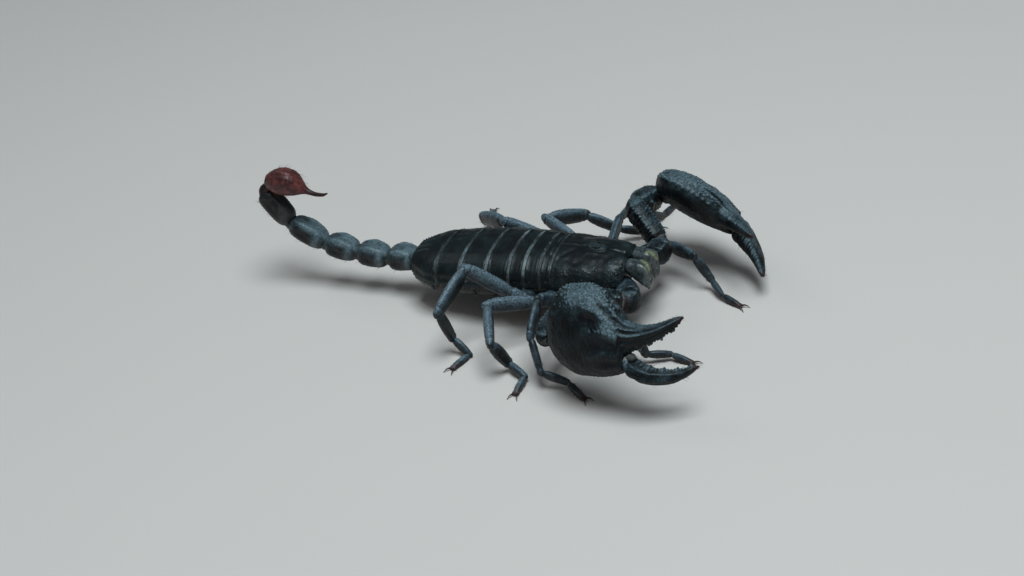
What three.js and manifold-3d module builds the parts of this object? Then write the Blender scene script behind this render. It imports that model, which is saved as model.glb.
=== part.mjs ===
// An adult Asian forest scorpion, life size, standing with its tail curled over and both pincers forward.
// Millimetres, +Z up, the head towards -Y, the animal's left side towards +X, the feet on z = 0.
import * as THREE from 'three';
import { mergeVertices } from 'three/addons/utils/BufferGeometryUtils.js';
import Module from 'manifold-3d';

const wasm = await Module();
wasm.setup();

const LEFT = 1;
const RIGHT = -1;
const GAP = 0.3; // clearance between two plates or segments that meet

// The trunk is drawn level with its seam at the carapace's rear edge, then raised and tipped nose-up.
const TRUNK = { height: 4.6, pitch: -3 };
const PLEURA_Z = 6.0; // the side seam between the upper and the lower plates
const BELLY_Z = 2.3;

const CARAPACE = { length: 16.5, frontWidth: 12.6, rearWidth: 18.6, frontZ: 10.4, rearZ: 12.4, notch: 1.1 };
const EYES = { y: -8.6, spacing: 1.5, radius: 0.62, moundLength: 4.2, moundWidth: 2.7, moundHeight: 0.7 };

// Upper plates of the trunk from front to rear: length, width and crest height at the rear edge.
const TERGITES = [
  { length: 2.7, width: 18.9, crest: 12.6 },
  { length: 3.6, width: 19.6, crest: 12.8 },
  { length: 3.6, width: 20.1, crest: 12.9 },
  { length: 5.4, width: 20.5, crest: 12.85 },
  { length: 6.4, width: 20.2, crest: 12.6 },
  { length: 6.4, width: 18.8, crest: 12.0 },
  { length: 8.4, width: 9.4, crest: 9.9 },
];
const STERNITES = { start: 8.8, end: 36.2, inset: 0.93, grooves: [13.6, 18.6, 23.8, 29.4] };
const COXAE = { front: -15.4, rear: 8.4, width: 8.8 };
const PECTINE = { y: 6.4, x: 2.6, length: 8.6, width: 2.6, thickness: 0.9 };

// Tail rings I to V: length, greatest width and height, and the lift of each one above level.
const TAIL_START = [0, 36.7, 6.9];
const TAIL = [
  { length: 7.5, width: 6.6, height: 5.6, lift: -3 },
  { length: 8.0, width: 6.1, height: 5.6, lift: 4 },
  { length: 8.3, width: 5.8, height: 5.5, lift: 12 },
  { length: 9.6, width: 5.5, height: 5.4, lift: 30 },
  { length: 9.6, width: 5.2, height: 5.2, lift: 54 },
];
const STING = { neckWidth: 2.2, bulbWidth: 5.8, bulbHeight: 6.7, lift: 174, back: -1.7, rise: 2.4 };

// Pincer arms: where the coxa ends on the trunk, then a heading outwards from straight ahead and a lift per segment.
const ARM = {
  root: [7.5, -17.6, 4.6],
  trochanter: { length: 4.6, width: 5.4, height: 5.6 },
  femur: { length: 11.6, width: 4.6, height: 5.6 },
  patella: { length: 12.2, width: 5.4, height: 6.0 },
  wrist: { ahead: 4.0, under: 2.8, outwards: 3.0 },
};
const ARM_POSE = {
  [RIGHT]: { coxa: [44, 6], trochanter: [74, 14], femur: [149.8, 17.2], patella: [108.3, -16.2], chela: [8, 12], tilt: 64 },
  [LEFT]: { coxa: [44, 6], trochanter: [78, 10], femur: [144.4, 29.9], patella: [83.3, -15.5], chela: [-32, -1], tilt: 49 },
};
// Outline of a pincer, the same on both sides: distance from the wrist, then the inner edge, the outer edge,
// the depth of the section and how far it is set towards the under side.
const PALM = [
  [-2.0, 1.9, 4.1, 2.4, 2.8],
  [-0.6, 1.2, 4.3, 3.1, 2.5],
  [0.2, -1.2, 4.7, 4.4, 1.6],
  [1.3, -4.4, 5.6, 5.9, 0.7],
  [3.8, -7.9, 7.7, 7.5, 0.1],
  [7.5, -9.3, 9.4, 8.2, 0],
  [11.7, -9.2, 9.7, 8.1, 0],
  [14.8, -7.6, 9.5, 7.4, 0.1],
  [16.9, -5.2, 9.1, 6.5, 0.2],
  [18.1, -3.4, 8.7, 6.0, 0.3],
  [18.4, -2.8, 5.0, 5.2, 0.3],
];
const FIXED_FINGER = [
  [19.4, -1.7, 4.7, 4.6, 0.3],
  [21.2, -1.0, 3.9, 4.0, 0.4],
  [23.2, -0.7, 3.1, 3.4, 0.6],
  [25.6, -0.9, 2.2, 2.9, 0.8],
  [28.0, -1.5, 0.9, 2.3, 1.1],
  [30.0, -2.1, -0.4, 1.7, 1.4],
  [31.6, -2.3, -1.6, 0.8, 1.6],
];
const MOVING_FINGER = [
  [18.75, 5.5, 9.3, 4.6, 0.8],
  [19.6, 6.0, 10.3, 5.0, 1.2],
  [21.2, 7.6, 11.2, 4.4, 2.1],
  [23.4, 8.7, 11.7, 3.6, 3.2],
  [25.8, 9.1, 11.7, 3.0, 4.5],
  [28.2, 9.0, 10.9, 2.3, 5.8],
  [30.0, 8.5, 9.7, 1.6, 6.7],
  [30.9, 8.3, 8.9, 0.8, 7.1],
];

// Walking legs I to IV: hip place on the trunk, the lengths of femur, patella, tibia, basitarsus and telotarsus,
// and a factor on their thickness.
const LEGS = [
  { hip: [9.4, -11.6, 4.2], lengths: [9.8, 9.2, 6.8, 5.2, 5.4], stout: 0.86 },
  { hip: [10.6, -6.0, 4.6], lengths: [10.8, 8.8, 7.9, 6.0, 5.7], stout: 0.93 },
  { hip: [11.4, 0.4, 4.8], lengths: [13.4, 10.8, 8.5, 5.8, 5.4], stout: 1.0 },
  { hip: [11.4, 6.3, 5.0], lengths: [14.4, 11.6, 9.6, 5.3, 5.7], stout: 1.0 },
];
const LEG_SECTION = {
  femur: { width: 2.2, height: 3.3 },
  patella: { width: 2.3, height: 3.5 },
  tibia: { width: 1.9, height: 2.7 },
  basitarsus: { width: 1.6, height: 2.1 },
  telotarsus: { width: 1.5, height: 1.9 },
};
// Heading and lift of the five segments of each leg, from leg I to leg IV.
const LEG_POSE = {
  [RIGHT]: [
    [[85, -8], [-8, 5], [-10, -70], [-25, -9], [8, -14]],
    [[119, 30], [86, -30], [52, -53], [-5, -20], [30, -14]],
    [[141, 13], [66, -15], [-67, -62], [31, -8], [93, -14]],
    [[161, 39], [107, -28], [-86, -68], [14, -40], [109, -14]],
  ],
  [LEFT]: [
    [[53, -9], [-31, 5], [-3, -58], [-46, -16], [-23, -14]],
    [[96, 8], [88, -6], [75, -50], [75, -31], [80, -14]],
    [[151, 10], [52, -18], [18, -32], [28, -18], [60, -14]],
    [[173, 15], [144, -18], [116, -34], [105, -28], [105, -14]],
  ],
};
const FOOT_REST = 0.34; // height of each foot's axis over the floor where the claws spread

const COLOURS = {
  shell: new THREE.MeshStandardMaterial({ color: 0x141d21, roughness: 0.32, metalness: 0.0 }),
  sting: new THREE.MeshStandardMaterial({ color: 0x5a1712, roughness: 0.3, metalness: 0.0 }),
  jaw: new THREE.MeshStandardMaterial({ color: 0x2d2f28, roughness: 0.4, metalness: 0.0 }),
  foot: new THREE.MeshStandardMaterial({ color: 0x2a1614, roughness: 0.4, metalness: 0.0 }),
  comb: new THREE.MeshStandardMaterial({ color: 0x6b5a40, roughness: 0.5, metalness: 0.0 }),
};

const radians = THREE.MathUtils.degToRad;
const mix = THREE.MathUtils.lerp;
const vector = (x, y, z) => new THREE.Vector3(x, y, z);

// ---------------------------------------------------------------- shapes

// Points round an oval section in the Y-Z plane; a power over 2 squares it off.
function oval(width, height, sides, power = 2.3) {
  return Array.from({ length: sides }, (unused, i) => {
    const angle = ((i + 0.5) / sides) * 2 * Math.PI;
    const c = Math.cos(angle);
    const s = Math.sin(angle);
    return [
      (width / 2) * Math.sign(c) * Math.abs(c) ** (2 / power),
      (height / 2) * Math.sign(s) * Math.abs(s) ** (2 / power),
    ];
  });
}

// One closed body through rings of equal count, with a flat fan closing each end.
function loft(rings) {
  const sides = rings[0].length;
  const positions = rings.flat().flatMap((point) => [point.x, point.y, point.z]);
  const indices = [];
  for (let ring = 0; ring + 1 < rings.length; ring += 1) {
    for (let i = 0; i < sides; i += 1) {
      const a = ring * sides + i;
      const b = ring * sides + ((i + 1) % sides);
      indices.push(a, b, a + sides, b, b + sides, a + sides);
    }
  }
  [0, rings.length - 1].forEach((ring) => {
    const centre = vector(0, 0, 0);
    rings[ring].forEach((point) => centre.addScaledVector(point, 1 / sides));
    const hub = positions.length / 3;
    positions.push(centre.x, centre.y, centre.z);
    for (let i = 0; i < sides; i += 1) {
      const a = ring * sides + i;
      const b = ring * sides + ((i + 1) % sides);
      indices.push(hub, ...(ring === 0 ? [b, a] : [a, b]));
    }
  });
  const geometry = new THREE.BufferGeometry();
  geometry.setAttribute('position', new THREE.Float32BufferAttribute(positions, 3));
  geometry.setIndex(indices);
  return facingOut(geometry);
}

// Turns the faces round when the body encloses a negative volume.
function facingOut(geometry) {
  const place = geometry.getAttribute('position');
  const index = geometry.getIndex().array;
  const corner = (i) => vector(0, 0, 0).fromBufferAttribute(place, index[i]);
  let volume = 0;
  for (let i = 0; i < index.length; i += 3) {
    volume += corner(i).dot(corner(i + 1).cross(corner(i + 2)));
  }
  if (volume < 0) {
    for (let i = 0; i < index.length; i += 3) {
      [index[i], index[i + 1]] = [index[i + 1], index[i]];
    }
  }
  geometry.computeVertexNormals();
  return geometry;
}

function toSolid(geometry) {
  const bare = geometry.clone();
  bare.deleteAttribute('normal');
  bare.deleteAttribute('uv');
  const merged = mergeVertices(bare, 1e-5);
  return new wasm.Manifold(new wasm.Mesh({
    numProp: 3,
    vertProperties: merged.getAttribute('position').array,
    triVerts: new Uint32Array(merged.getIndex().array),
  }));
}

function fromSolid(solid) {
  const mesh = solid.getMesh();
  const geometry = new THREE.BufferGeometry();
  geometry.setAttribute('position', new THREE.Float32BufferAttribute(mesh.vertProperties, 3));
  geometry.setIndex(Array.from(mesh.triVerts));
  geometry.computeVertexNormals();
  return geometry;
}

function named(name, geometry, material) {
  const mesh = new THREE.Mesh(geometry, material);
  mesh.name = name;
  return mesh;
}

// ---------------------------------------------------------------- limbs

function direction(side, [heading, lift]) {
  const h = radians(heading);
  const l = radians(lift);
  return vector(side * Math.sin(h) * Math.cos(l), -Math.cos(h) * Math.cos(l), Math.sin(l));
}

// Frame of one segment: local X runs along it, local Y is level, local Z is its upper side.
function segmentFrame(side, angles, origin) {
  const along = direction(side, angles);
  const h = radians(angles[0]);
  const level = vector(Math.cos(h), side * Math.sin(h), 0);
  return new THREE.Matrix4()
    .makeBasis(along, level, vector(0, 0, 0).crossVectors(along, level))
    .setPosition(origin);
}

// A ring of a segment at a distance along it. Where the segment ends at a bend, the ring lies in the plane
// that halves the bend, `inset` keeps it clear of that plane and `reach` limits how far its outer side runs past.
function ringAt(frame, distance, section, bend = null, inset = 0, reach = Infinity) {
  const normal = bend ? bend.clone().transformDirection(frame.clone().invert()) : vector(1, 0, 0);
  const away = inset > 0 ? -1 : 1;
  return section.map(([y, z]) => {
    const slide = (inset - normal.y * y - normal.z * z) / normal.x;
    return vector(distance + away * Math.min(away * slide, reach), y, z).applyMatrix4(frame);
  });
}

// A chain of segments that grow out of each other. Each piece is one body made of one or more segments.
function buildChain({ side, origin, before, after, pieces, floor = null }) {
  const segments = pieces.flatMap((piece) => piece.segments);
  let joint = origin.clone();
  segments.forEach((segment) => {
    segment.frame = segmentFrame(side, segment.angles, joint);
    segment.along = direction(side, segment.angles);
    joint = joint.clone().addScaledVector(segment.along, segment.length);
  });
  const lines = [before ?? segments[0].along, ...segments.map((segment) => segment.along)];
  lines.push(after ?? lines.at(-1));
  const bends = lines.slice(1).map((line, i) => line.clone().add(lines[i]).normalize());
  return pieces.map((piece) => {
    const rings = [];
    piece.segments.forEach((segment, place) => {
      const i = segments.indexOf(segment);
      const isFirst = place === 0;
      const isLast = place === piece.segments.length - 1;
      const size = Math.max(...segment.stations.map(([t, width, height]) => Math.max(width, height))) / 2;
      const lead = size * Math.tan(segment.along.angleTo(bends[i]));
      const tail = size * Math.tan(segment.along.angleTo(bends[i + 1]));
      segment.stations.forEach(([t, width, height]) => {
        const section = oval(width, height, piece.sides, piece.power);
        const within = lead + t * (segment.length - lead - tail);
        const reach = 0.35 * height;
        if (t === 0 && isFirst) {
          rings.push(ringAt(segment.frame, 0, section, bends[i], GAP / 2, reach));
        } else if (t === 1 && !isLast) {
          rings.push(ringAt(segment.frame, segment.length, section, bends[i + 1]));
        } else if (t === 1 && (i + 1 < segments.length || after)) {
          rings.push(ringAt(segment.frame, segment.length, section, bends[i + 1], -GAP / 2, reach));
        } else {
          rings.push(ringAt(segment.frame, within, section));
        }
      });
    });
    if (floor !== null) {
      rings.flat().forEach((point) => {
        point.z = Math.max(point.z, floor);
      });
    }
    return named(piece.name, loft(rings), piece.material);
  });
}

// Stations of a plain limb segment: a narrow neck, a swelling along the middle and a knob at the far end.
function limbStations({ width, height }, neck = 0.72, knob = 0.95) {
  return [
    [0, width * neck, height * neck],
    [0.12, width * 0.92, height * 0.88],
    [0.45, width, height],
    [0.85, width * 0.96, height * 0.94],
    [1, width * knob * 0.92, height * knob * 0.9],
  ];
}

function scaled({ width, height }, factor) {
  return { width: width * factor, height: height * factor };
}

function buildLeg(number, side, trunk) {
  const leg = LEGS[number - 1];
  const angles = LEG_POSE[side][number - 1];
  const name = `leg_${number}_${side === LEFT ? 'left' : 'right'}`;
  const hip = trunk.localToWorld(vector(side * leg.hip[0], leg.hip[1], leg.hip[2]));
  const part = (key) => scaled(LEG_SECTION[key], leg.stout);
  const foot = part('telotarsus');
  const basitarsus = part('basitarsus');
  const femur = part('femur');
  // The last segment's lift is set so that the foot's axis comes down to its resting height.
  const lengths = leg.lengths;
  const drop = lengths.slice(0, 4).reduce((z, length, i) => z + length * Math.sin(radians(angles[i][1])), hip.z);
  const lift = THREE.MathUtils.radToDeg(Math.asin((FOOT_REST - drop) / lengths[4]));
  const pieces = [
    { name: `${name}_femur`, sides: 8, material: COLOURS.shell, segments: [{ length: lengths[0], angles: angles[0], stations: [
      [0, femur.width * 1.1, femur.height * 0.92],
      [0.13, femur.width * 1.12, femur.height * 0.95],
      [0.22, femur.width * 0.9, femur.height * 0.72],
      [0.32, femur.width * 1.0, femur.height * 0.9],
      [0.62, femur.width, femur.height],
      [0.9, femur.width * 0.98, femur.height * 0.95],
      [1, femur.width * 0.88, femur.height * 0.84]] }] },
    { name: `${name}_patella`, sides: 8, material: COLOURS.shell, segments: [
      { length: lengths[1], angles: angles[1], stations: limbStations(part('patella')) }] },
    { name: `${name}_tibia`, sides: 8, material: COLOURS.shell, segments: [
      { length: lengths[2], angles: angles[2], stations: limbStations(part('tibia'), 0.74, 0.98) }] },
    { name: `${name}_tarsus`, sides: 8, material: COLOURS.foot, segments: [
      { length: lengths[3], angles: angles[3], stations: [
        [0, basitarsus.width * 0.78, basitarsus.height * 0.78],
        [0.3, basitarsus.width, basitarsus.height],
        [0.82, basitarsus.width, basitarsus.height],
        [1, basitarsus.width * 0.86, basitarsus.height * 0.86]] },
      { length: lengths[4], angles: [angles[4][0], lift], stations: [
        [0.22, foot.width, foot.height],
        [0.62, foot.width * 1.06, foot.height * 1.04],
        [0.84, foot.width * 0.95, foot.height * 0.86],
        [1, foot.width * 1.1, foot.height * 0.66]] }] },
  ];
  return buildChain({ side, origin: hip, before: direction(side, coxaAngles(number)), pieces, floor: 0 });
}

// The coxae fan out under the prosoma, the first pair forwards and the last pair back.
function coxaAngles(number) {
  return [[62, 4], [82, 4], [102, 6], [124, 8]][number - 1];
}

// ---------------------------------------------------------------- trunk

// Half width and crest height of the trunk at any distance behind the carapace's rear edge.
function trunkAt(y) {
  if (y <= 0) {
    const t = (y + CARAPACE.length) / CARAPACE.length;
    const ease = Math.sin((Math.PI / 2) * t);
    return { half: mix(CARAPACE.frontWidth, CARAPACE.rearWidth, ease) / 2, crest: mix(CARAPACE.frontZ, CARAPACE.rearZ, ease ** 0.8) };
  }
  let start = 0;
  let from = { width: CARAPACE.rearWidth, crest: CARAPACE.rearZ };
  for (const plate of TERGITES) {
    if (y <= start + plate.length) {
      const t = (y - start) / plate.length;
      const ease = plate === TERGITES.at(-1) ? 1 - Math.cos((Math.PI / 2) * t) : t;
      return { half: mix(from.width, plate.width, ease) / 2, crest: mix(from.crest, plate.crest, ease) };
    }
    start += plate.length;
    from = plate;
  }
  return { half: from.width / 2, crest: from.crest };
}

// An arched upper plate section, closed by the flat of the side seam.
function archRing(y, half, crest, seam, points, fullness = 2.5) {
  return Array.from({ length: points }, (unused, i) => {
    const angle = Math.PI * (i / (points - 1));
    const c = Math.cos(angle);
    const s = Math.sin(angle);
    return vector(half * Math.sign(c) * Math.abs(c) ** (2 / fullness), y, seam + (crest - seam) * s ** (2 / fullness));
  });
}

function buildCarapace() {
  const stations = [0, 0.08, 0.22, 0.4, 0.52, 0.66, 0.82, 1];
  const rings = stations.map((t) => {
    const y = -CARAPACE.length + t * CARAPACE.length - (t === 1 ? GAP / 2 : 0);
    const { half, crest } = trunkAt(y);
    const shrink = t === 0 ? 0.9 : 1;
    const ring = archRing(y, half * shrink, crest - (t === 0 ? 0.9 : 0), PLEURA_Z + GAP / 2, 17);
    if (t < 0.1) {
      // The front edge is notched in the middle, between two rounded lobes.
      ring.forEach((point) => {
        const across = Math.abs(point.x) / half;
        point.y += CARAPACE.notch * Math.exp(-((across / 0.22) ** 2)) * (1 - t * 8);
        point.y += 1.3 * across ** 4 * (1 - t * 8);
      });
    }
    return ring;
  });
  const mound = new THREE.SphereGeometry(1, 12, 6);
  mound.scale(EYES.moundWidth / 2, EYES.moundLength / 2, EYES.moundHeight * 2);
  mound.translate(0, EYES.y, trunkAt(EYES.y).crest - EYES.moundHeight * 0.9);
  const eyes = [LEFT, RIGHT].map((side) => {
    const eye = new THREE.SphereGeometry(EYES.radius, 8, 6);
    eye.translate((side * EYES.spacing) / 2 + side * 0.25, EYES.y, trunkAt(EYES.y).crest + 0.35);
    return toSolid(eye);
  });
  const solid = [toSolid(mound), ...eyes].reduce((body, extra) => body.add(extra), toSolid(loft(rings)));
  return named('carapace', fromSolid(solid), COLOURS.shell);
}

function buildTergite(number) {
  const start = TERGITES.slice(0, number - 1).reduce((sum, plate) => sum + plate.length, 0);
  const { length } = TERGITES[number - 1];
  const isLast = number === TERGITES.length;
  const steps = isLast ? [0, 0.1, 0.3, 0.5, 0.7, 0.86, 1] : [0, 0.16, 0.6, 0.9, 1];
  const rings = steps.map((t) => {
    const y = start + GAP / 2 + t * (length - GAP);
    const { half, crest } = trunkAt(y);
    const tuck = t === 0 ? 0.4 : 0;
    const lip = t === 1 && !isLast ? -0.1 : 0;
    return archRing(y, half - tuck, crest - tuck + lip, PLEURA_Z + GAP / 2, 15);
  });
  return named(`tergite_${number}`, loft(rings), COLOURS.shell);
}

// The belly plates, in one length with a groove between each two.
function buildSternites() {
  const { start, end, inset, grooves } = STERNITES;
  const places = [start, start + 1.2];
  grooves.forEach((y) => places.push(y - 0.35, y, y + 0.35));
  places.push(end - 3.4, end - 1.2, end);
  const rings = places.map((y) => {
    const { half } = trunkAt(y);
    const groove = grooves.includes(y) ? 0.35 : 0;
    const taper = y === start || y === end ? 0.5 : 0;
    const rise = Math.max(0, (y - 27) / (end - 27)) ** 2 * 1.5;
    const low = BELLY_Z + groove + taper + rise;
    const wide = half * inset - groove - taper;
    const seam = PLEURA_Z - GAP / 2;
    return archRing(y, wide, low, seam, 13, 3);
  });
  return named('sternites', loft(rings), COLOURS.shell);
}

function buildCoxosternum() {
  const seam = PLEURA_Z - GAP / 2;
  const lengths = [0, 0.1, 0.4, 0.7, 0.92, 1];
  const core = loft(lengths.map((t) => {
    const y = mix(COXAE.front, COXAE.rear, t);
    const half = Math.min(trunkAt(y).half * 0.94, COXAE.width) - (t === 0 || t === 1 ? 1.4 : 0);
    const low = BELLY_Z + (t === 0 ? 1.6 : 0);
    return archRing(y, half, low, seam, 11, 3);
  }));
  let solid = toSolid(core);
  const stubs = [];
  [LEFT, RIGHT].forEach((side) => {
    LEGS.forEach((leg, i) => {
      const angles = coxaAngles(i + 1);
      const hip = vector(side * leg.hip[0], leg.hip[1], leg.hip[2]);
      const first = direction(side, LEG_POSE[side][i][0]);
      stubs.push({ side, angles, end: hip, first, length: 6.4, width: 3.0 * leg.stout, height: 3.3 * leg.stout });
    });
    const root = vector(side * ARM.root[0], ARM.root[1], ARM.root[2]);
    const first = direction(side, ARM_POSE[side].trochanter);
    stubs.push({ side, angles: ARM_POSE[side].coxa, end: root, first, length: 6.4, width: 4.4, height: 4.2 });
  });
  stubs.forEach(({ side, angles, end, first, length, width, height }) => {
    const along = direction(side, angles);
    const frame = segmentFrame(side, angles, end.clone().addScaledVector(along, -length));
    const bend = along.clone().add(first).normalize();
    const rings = [
      ringAt(frame, 0, oval(width * 0.7, height * 0.7, 10)),
      ringAt(frame, length * 0.6, oval(width * 1.08, height, 10)),
      ringAt(frame, length, oval(width, height * 0.96, 10), bend, -GAP / 2),
    ];
    rings.flat().forEach((point) => { point.z = Math.min(point.z, seam); });
    solid = solid.add(toSolid(loft(rings)));
  });
  return named('coxosternum', fromSolid(solid), COLOURS.shell);
}

// The comb-like feelers under the trunk, each a flat blade that points out and back.
function buildPectine(side) {
  const { y, x, length, width, thickness } = PECTINE;
  const z = BELLY_Z - GAP - thickness / 2;
  const frame = segmentFrame(side, [118, 0], vector(side * x, y, z));
  const rings = [0, 0.1, 0.5, 0.85, 1].map((t) => {
    const wide = width * (0.55 + 0.9 * Math.sin(Math.PI * (0.12 + 0.76 * t)) * 0.6);
    return ringAt(frame, t * length, oval(wide, thickness, 10, 3));
  });
  return named(`pectine_${side === LEFT ? 'left' : 'right'}`, loft(rings), COLOURS.comb);
}

// A jaw: a bulging base under the carapace's front edge with a short finger that points forwards and down.
function buildChelicera(side) {
  const base = vector(side * 2.4, -CARAPACE.length - 0.8, 8.6);
  const frame = segmentFrame(side, [-3, -24], base);
  const stations = [
    [0, 3.4, 3.4, 0], [0.5, 4.1, 4.2, 0], [1.5, 4.3, 4.6, 0.1], [2.5, 4.1, 4.3, 0.4], [3.2, 3.4, 3.6, 0.8],
    [3.6, 2.6, 2.9, 1.3], [4.2, 1.8, 2.1, 1.9], [4.7, 1.1, 1.3, 2.6], [4.9, 0.6, 0.7, 3.1],
  ];
  const rings = stations.map(([x, width, height, drop]) => (
    ringAt(frame, x, oval(width, height, 10, 2.4).map(([y, z]) => [y, z - drop]))));
  return named(`chelicera_${side === LEFT ? 'left' : 'right'}`, loft(rings), COLOURS.jaw);
}

// ---------------------------------------------------------------- tail

function buildTail(trunk) {
  const stations = ({ width, height }, end) => [
    [0, width * 0.66, height * 0.68],
    [0.12, width * 0.86, height * 0.86],
    [0.32, width * 0.98, height * 0.98],
    [0.6, width, height],
    [0.84, width * 0.94, height * 0.96],
    [1, width * end, height * end],
  ];
  const pieces = TAIL.map((ring, i) => ({
    name: `metasoma_${i + 1}`,
    sides: 12,
    power: 3,
    material: COLOURS.shell,
    segments: [{ length: ring.length, angles: [180, ring.lift], stations: stations(ring, i === 4 ? 0.6 : 0.72) }],
  }));
  const origin = trunk.localToWorld(vector(...TAIL_START));
  const before = direction(LEFT, [180, TRUNK.pitch]);
  return buildChain({ side: LEFT, origin, before, pieces });
}

// The bulb and its curved spine: a neck out of the last tail ring, turned forwards over it.
function buildSting(trunk) {
  const end = trunk.localToWorld(vector(...TAIL_START));
  TAIL.forEach((ring) => end.addScaledVector(direction(LEFT, [180, ring.lift]), ring.length));
  const neckFrame = segmentFrame(LEFT, [180, TAIL.at(-1).lift], end);
  const start = end.clone().add(vector(0, STING.back, STING.rise));
  const frame = segmentFrame(LEFT, [180, STING.lift], start);
  const elbow = end.clone().lerp(start, 0.55).addScaledVector(direction(LEFT, [180, TAIL.at(-1).lift]), 0.9);
  const elbowFrame = segmentFrame(LEFT, [180, (TAIL.at(-1).lift + STING.lift) / 2], elbow);
  const tube = oval(STING.neckWidth, STING.neckWidth, 10, 2);
  const neck = loft([
    ringAt(neckFrame, 0.3, tube), ringAt(neckFrame, 0.9, tube), ringAt(elbowFrame, 0, tube), ringAt(frame, 1.6, tube),
  ]);
  // Distance forwards, width and height as shares of the bulb's, and how far the section is set downwards.
  const bulb = [
    [0, 0.3, 0.28, 0], [0.5, 0.46, 0.42, -0.1], [1.5, 0.72, 0.66, -0.3], [3.2, 0.95, 0.93, -0.4], [5.0, 1, 1, -0.4],
    [6.8, 0.93, 0.92, -0.15], [8.0, 0.77, 0.75, 0.35], [8.9, 0.53, 0.52, 1.1], [9.6, 0.32, 0.31, 1.9],
    [10.6, 0.21, 0.2, 2.6], [12.2, 0.16, 0.15, 3.2], [13.8, 0.13, 0.12, 3.35], [15.2, 0.09, 0.08, 3.0],
  ];
  const rings = bulb.map(([x, wide, high, drop]) => (
    ringAt(frame, x, oval(wide * STING.bulbWidth, high * STING.bulbHeight, 12, 2.1).map(([y, z]) => [y, z + drop]))));
  return named('telson', fromSolid(toSolid(loft(rings)).add(toSolid(neck))), COLOURS.sting);
}

// ---------------------------------------------------------------- pincer arms

// Frame of a pincer: local X along it, local Y towards the moving finger's edge, local Z square to its broad face.
function chelaFrame(side, { chela, tilt }, origin) {
  const along = direction(side, chela);
  const outwards = vector(side, 0, 0).addScaledVector(along, -side * along.x).normalize();
  const upwards = vector(0, 0, 0).crossVectors(along, outwards).multiplyScalar(side);
  const edge = outwards.multiplyScalar(Math.cos(radians(tilt))).addScaledVector(upwards, -Math.sin(radians(tilt)));
  return new THREE.Matrix4().makeBasis(along, edge, vector(0, 0, 0).crossVectors(along, edge)).setPosition(origin);
}

// Rings of a pincer body from stations of distance, inner edge, outer edge, depth and set.
function chelaRings(frame, side, stations, sides) {
  return stations.map(([x, inner, outer, depth, set]) => (
    oval(outer - inner, depth, sides, 2.1).map(([y, z]) => (
      vector(x, (inner + outer) / 2 + y, side * (z - set)).applyMatrix4(frame)))
  ));
}

function buildChela(side, wrist) {
  const word = side === LEFT ? 'left' : 'right';
  const frame = chelaFrame(side, ARM_POSE[side], wrist);
  return [
    named(`chela_${word}_palm`, loft(chelaRings(frame, side, [...PALM, ...FIXED_FINGER], 14)), COLOURS.shell),
    named(`chela_${word}_moving_finger`, loft(chelaRings(frame, side, MOVING_FINGER, 8)), COLOURS.shell),
  ];
}

function buildArm(side, trunk) {
  const word = side === LEFT ? 'left' : 'right';
  const pose = ARM_POSE[side];
  const root = trunk.localToWorld(vector(side * ARM.root[0], ARM.root[1], ARM.root[2]));
  const { trochanter, femur, patella } = ARM;
  const pieces = [
    { name: `pedipalp_${word}_femur`, sides: 10, power: 2.8, material: COLOURS.shell, segments: [
      { length: trochanter.length, angles: pose.trochanter, stations: [
        [0, trochanter.width * 0.7, trochanter.height * 0.7],
        [0.5, trochanter.width, trochanter.height],
        [1, trochanter.width * 0.8, trochanter.height * 0.8]] },
      { length: femur.length, angles: pose.femur, stations: [
        [0.06, femur.width * 0.9, femur.height * 0.9],
        [0.5, femur.width, femur.height],
        [0.92, femur.width * 1.02, femur.height * 1.02],
        [1, femur.width * 0.82, femur.height * 0.82]] }] },
    { name: `pedipalp_${word}_patella`, sides: 10, power: 2.8, material: COLOURS.shell, segments: [
      { length: patella.length, angles: pose.patella, stations: limbStations(patella, 0.8, 0.64) }] },
  ];
  const chelaAlong = direction(side, pose.chela);
  const hand = chelaFrame(side, pose, root);
  const wrist = root.clone();
  pieces.flatMap((piece) => piece.segments).forEach(({ angles, length }) => {
    wrist.addScaledVector(direction(side, angles), length);
  });
  const edge = vector(0, 0, 0);
  const face = vector(0, 0, 0);
  hand.extractBasis(vector(0, 0, 0), edge, face);
  wrist.addScaledVector(chelaAlong, ARM.wrist.ahead);
  wrist.addScaledVector(face, side * ARM.wrist.under);
  wrist.addScaledVector(edge, -ARM.wrist.outwards);
  const built = buildChain({ side, origin: root, before: direction(side, pose.coxa), after: chelaAlong, pieces });
  return [...built, ...buildChela(side, wrist)];
}

// ---------------------------------------------------------------- the whole animal

function buildScorpion() {
  const scorpion = new THREE.Group();
  const trunk = new THREE.Group();
  trunk.position.z = TRUNK.height;
  trunk.rotation.x = radians(TRUNK.pitch);
  trunk.updateMatrixWorld(true);
  trunk.add(buildCarapace(), buildCoxosternum(), buildSternites());
  TERGITES.forEach((plate, i) => trunk.add(buildTergite(i + 1)));
  [LEFT, RIGHT].forEach((side) => trunk.add(buildChelicera(side), buildPectine(side)));
  scorpion.add(trunk);
  [LEFT, RIGHT].forEach((side) => {
    scorpion.add(...buildArm(side, trunk));
    LEGS.forEach((leg, i) => scorpion.add(...buildLeg(i + 1, side, trunk)));
  });
  scorpion.add(...buildTail(trunk), buildSting(trunk));
  const box = new THREE.Box3().setFromObject(scorpion, true);
  const centre = box.getCenter(vector(0, 0, 0));
  scorpion.position.set(-centre.x, -centre.y, -box.min.z);
  return scorpion;
}

export default buildScorpion();
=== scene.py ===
"""An adult Asian forest scorpion as a still, life-size museum model, with its shell, soft skin and bristles."""

import itertools
import math

import bpy
import numpy as np
from bpy.props import FloatProperty, FloatVectorProperty, IntProperty, PointerProperty
from bpy.types import Operator, Panel, PropertyGroup
from mathutils import Matrix, Vector


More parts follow.
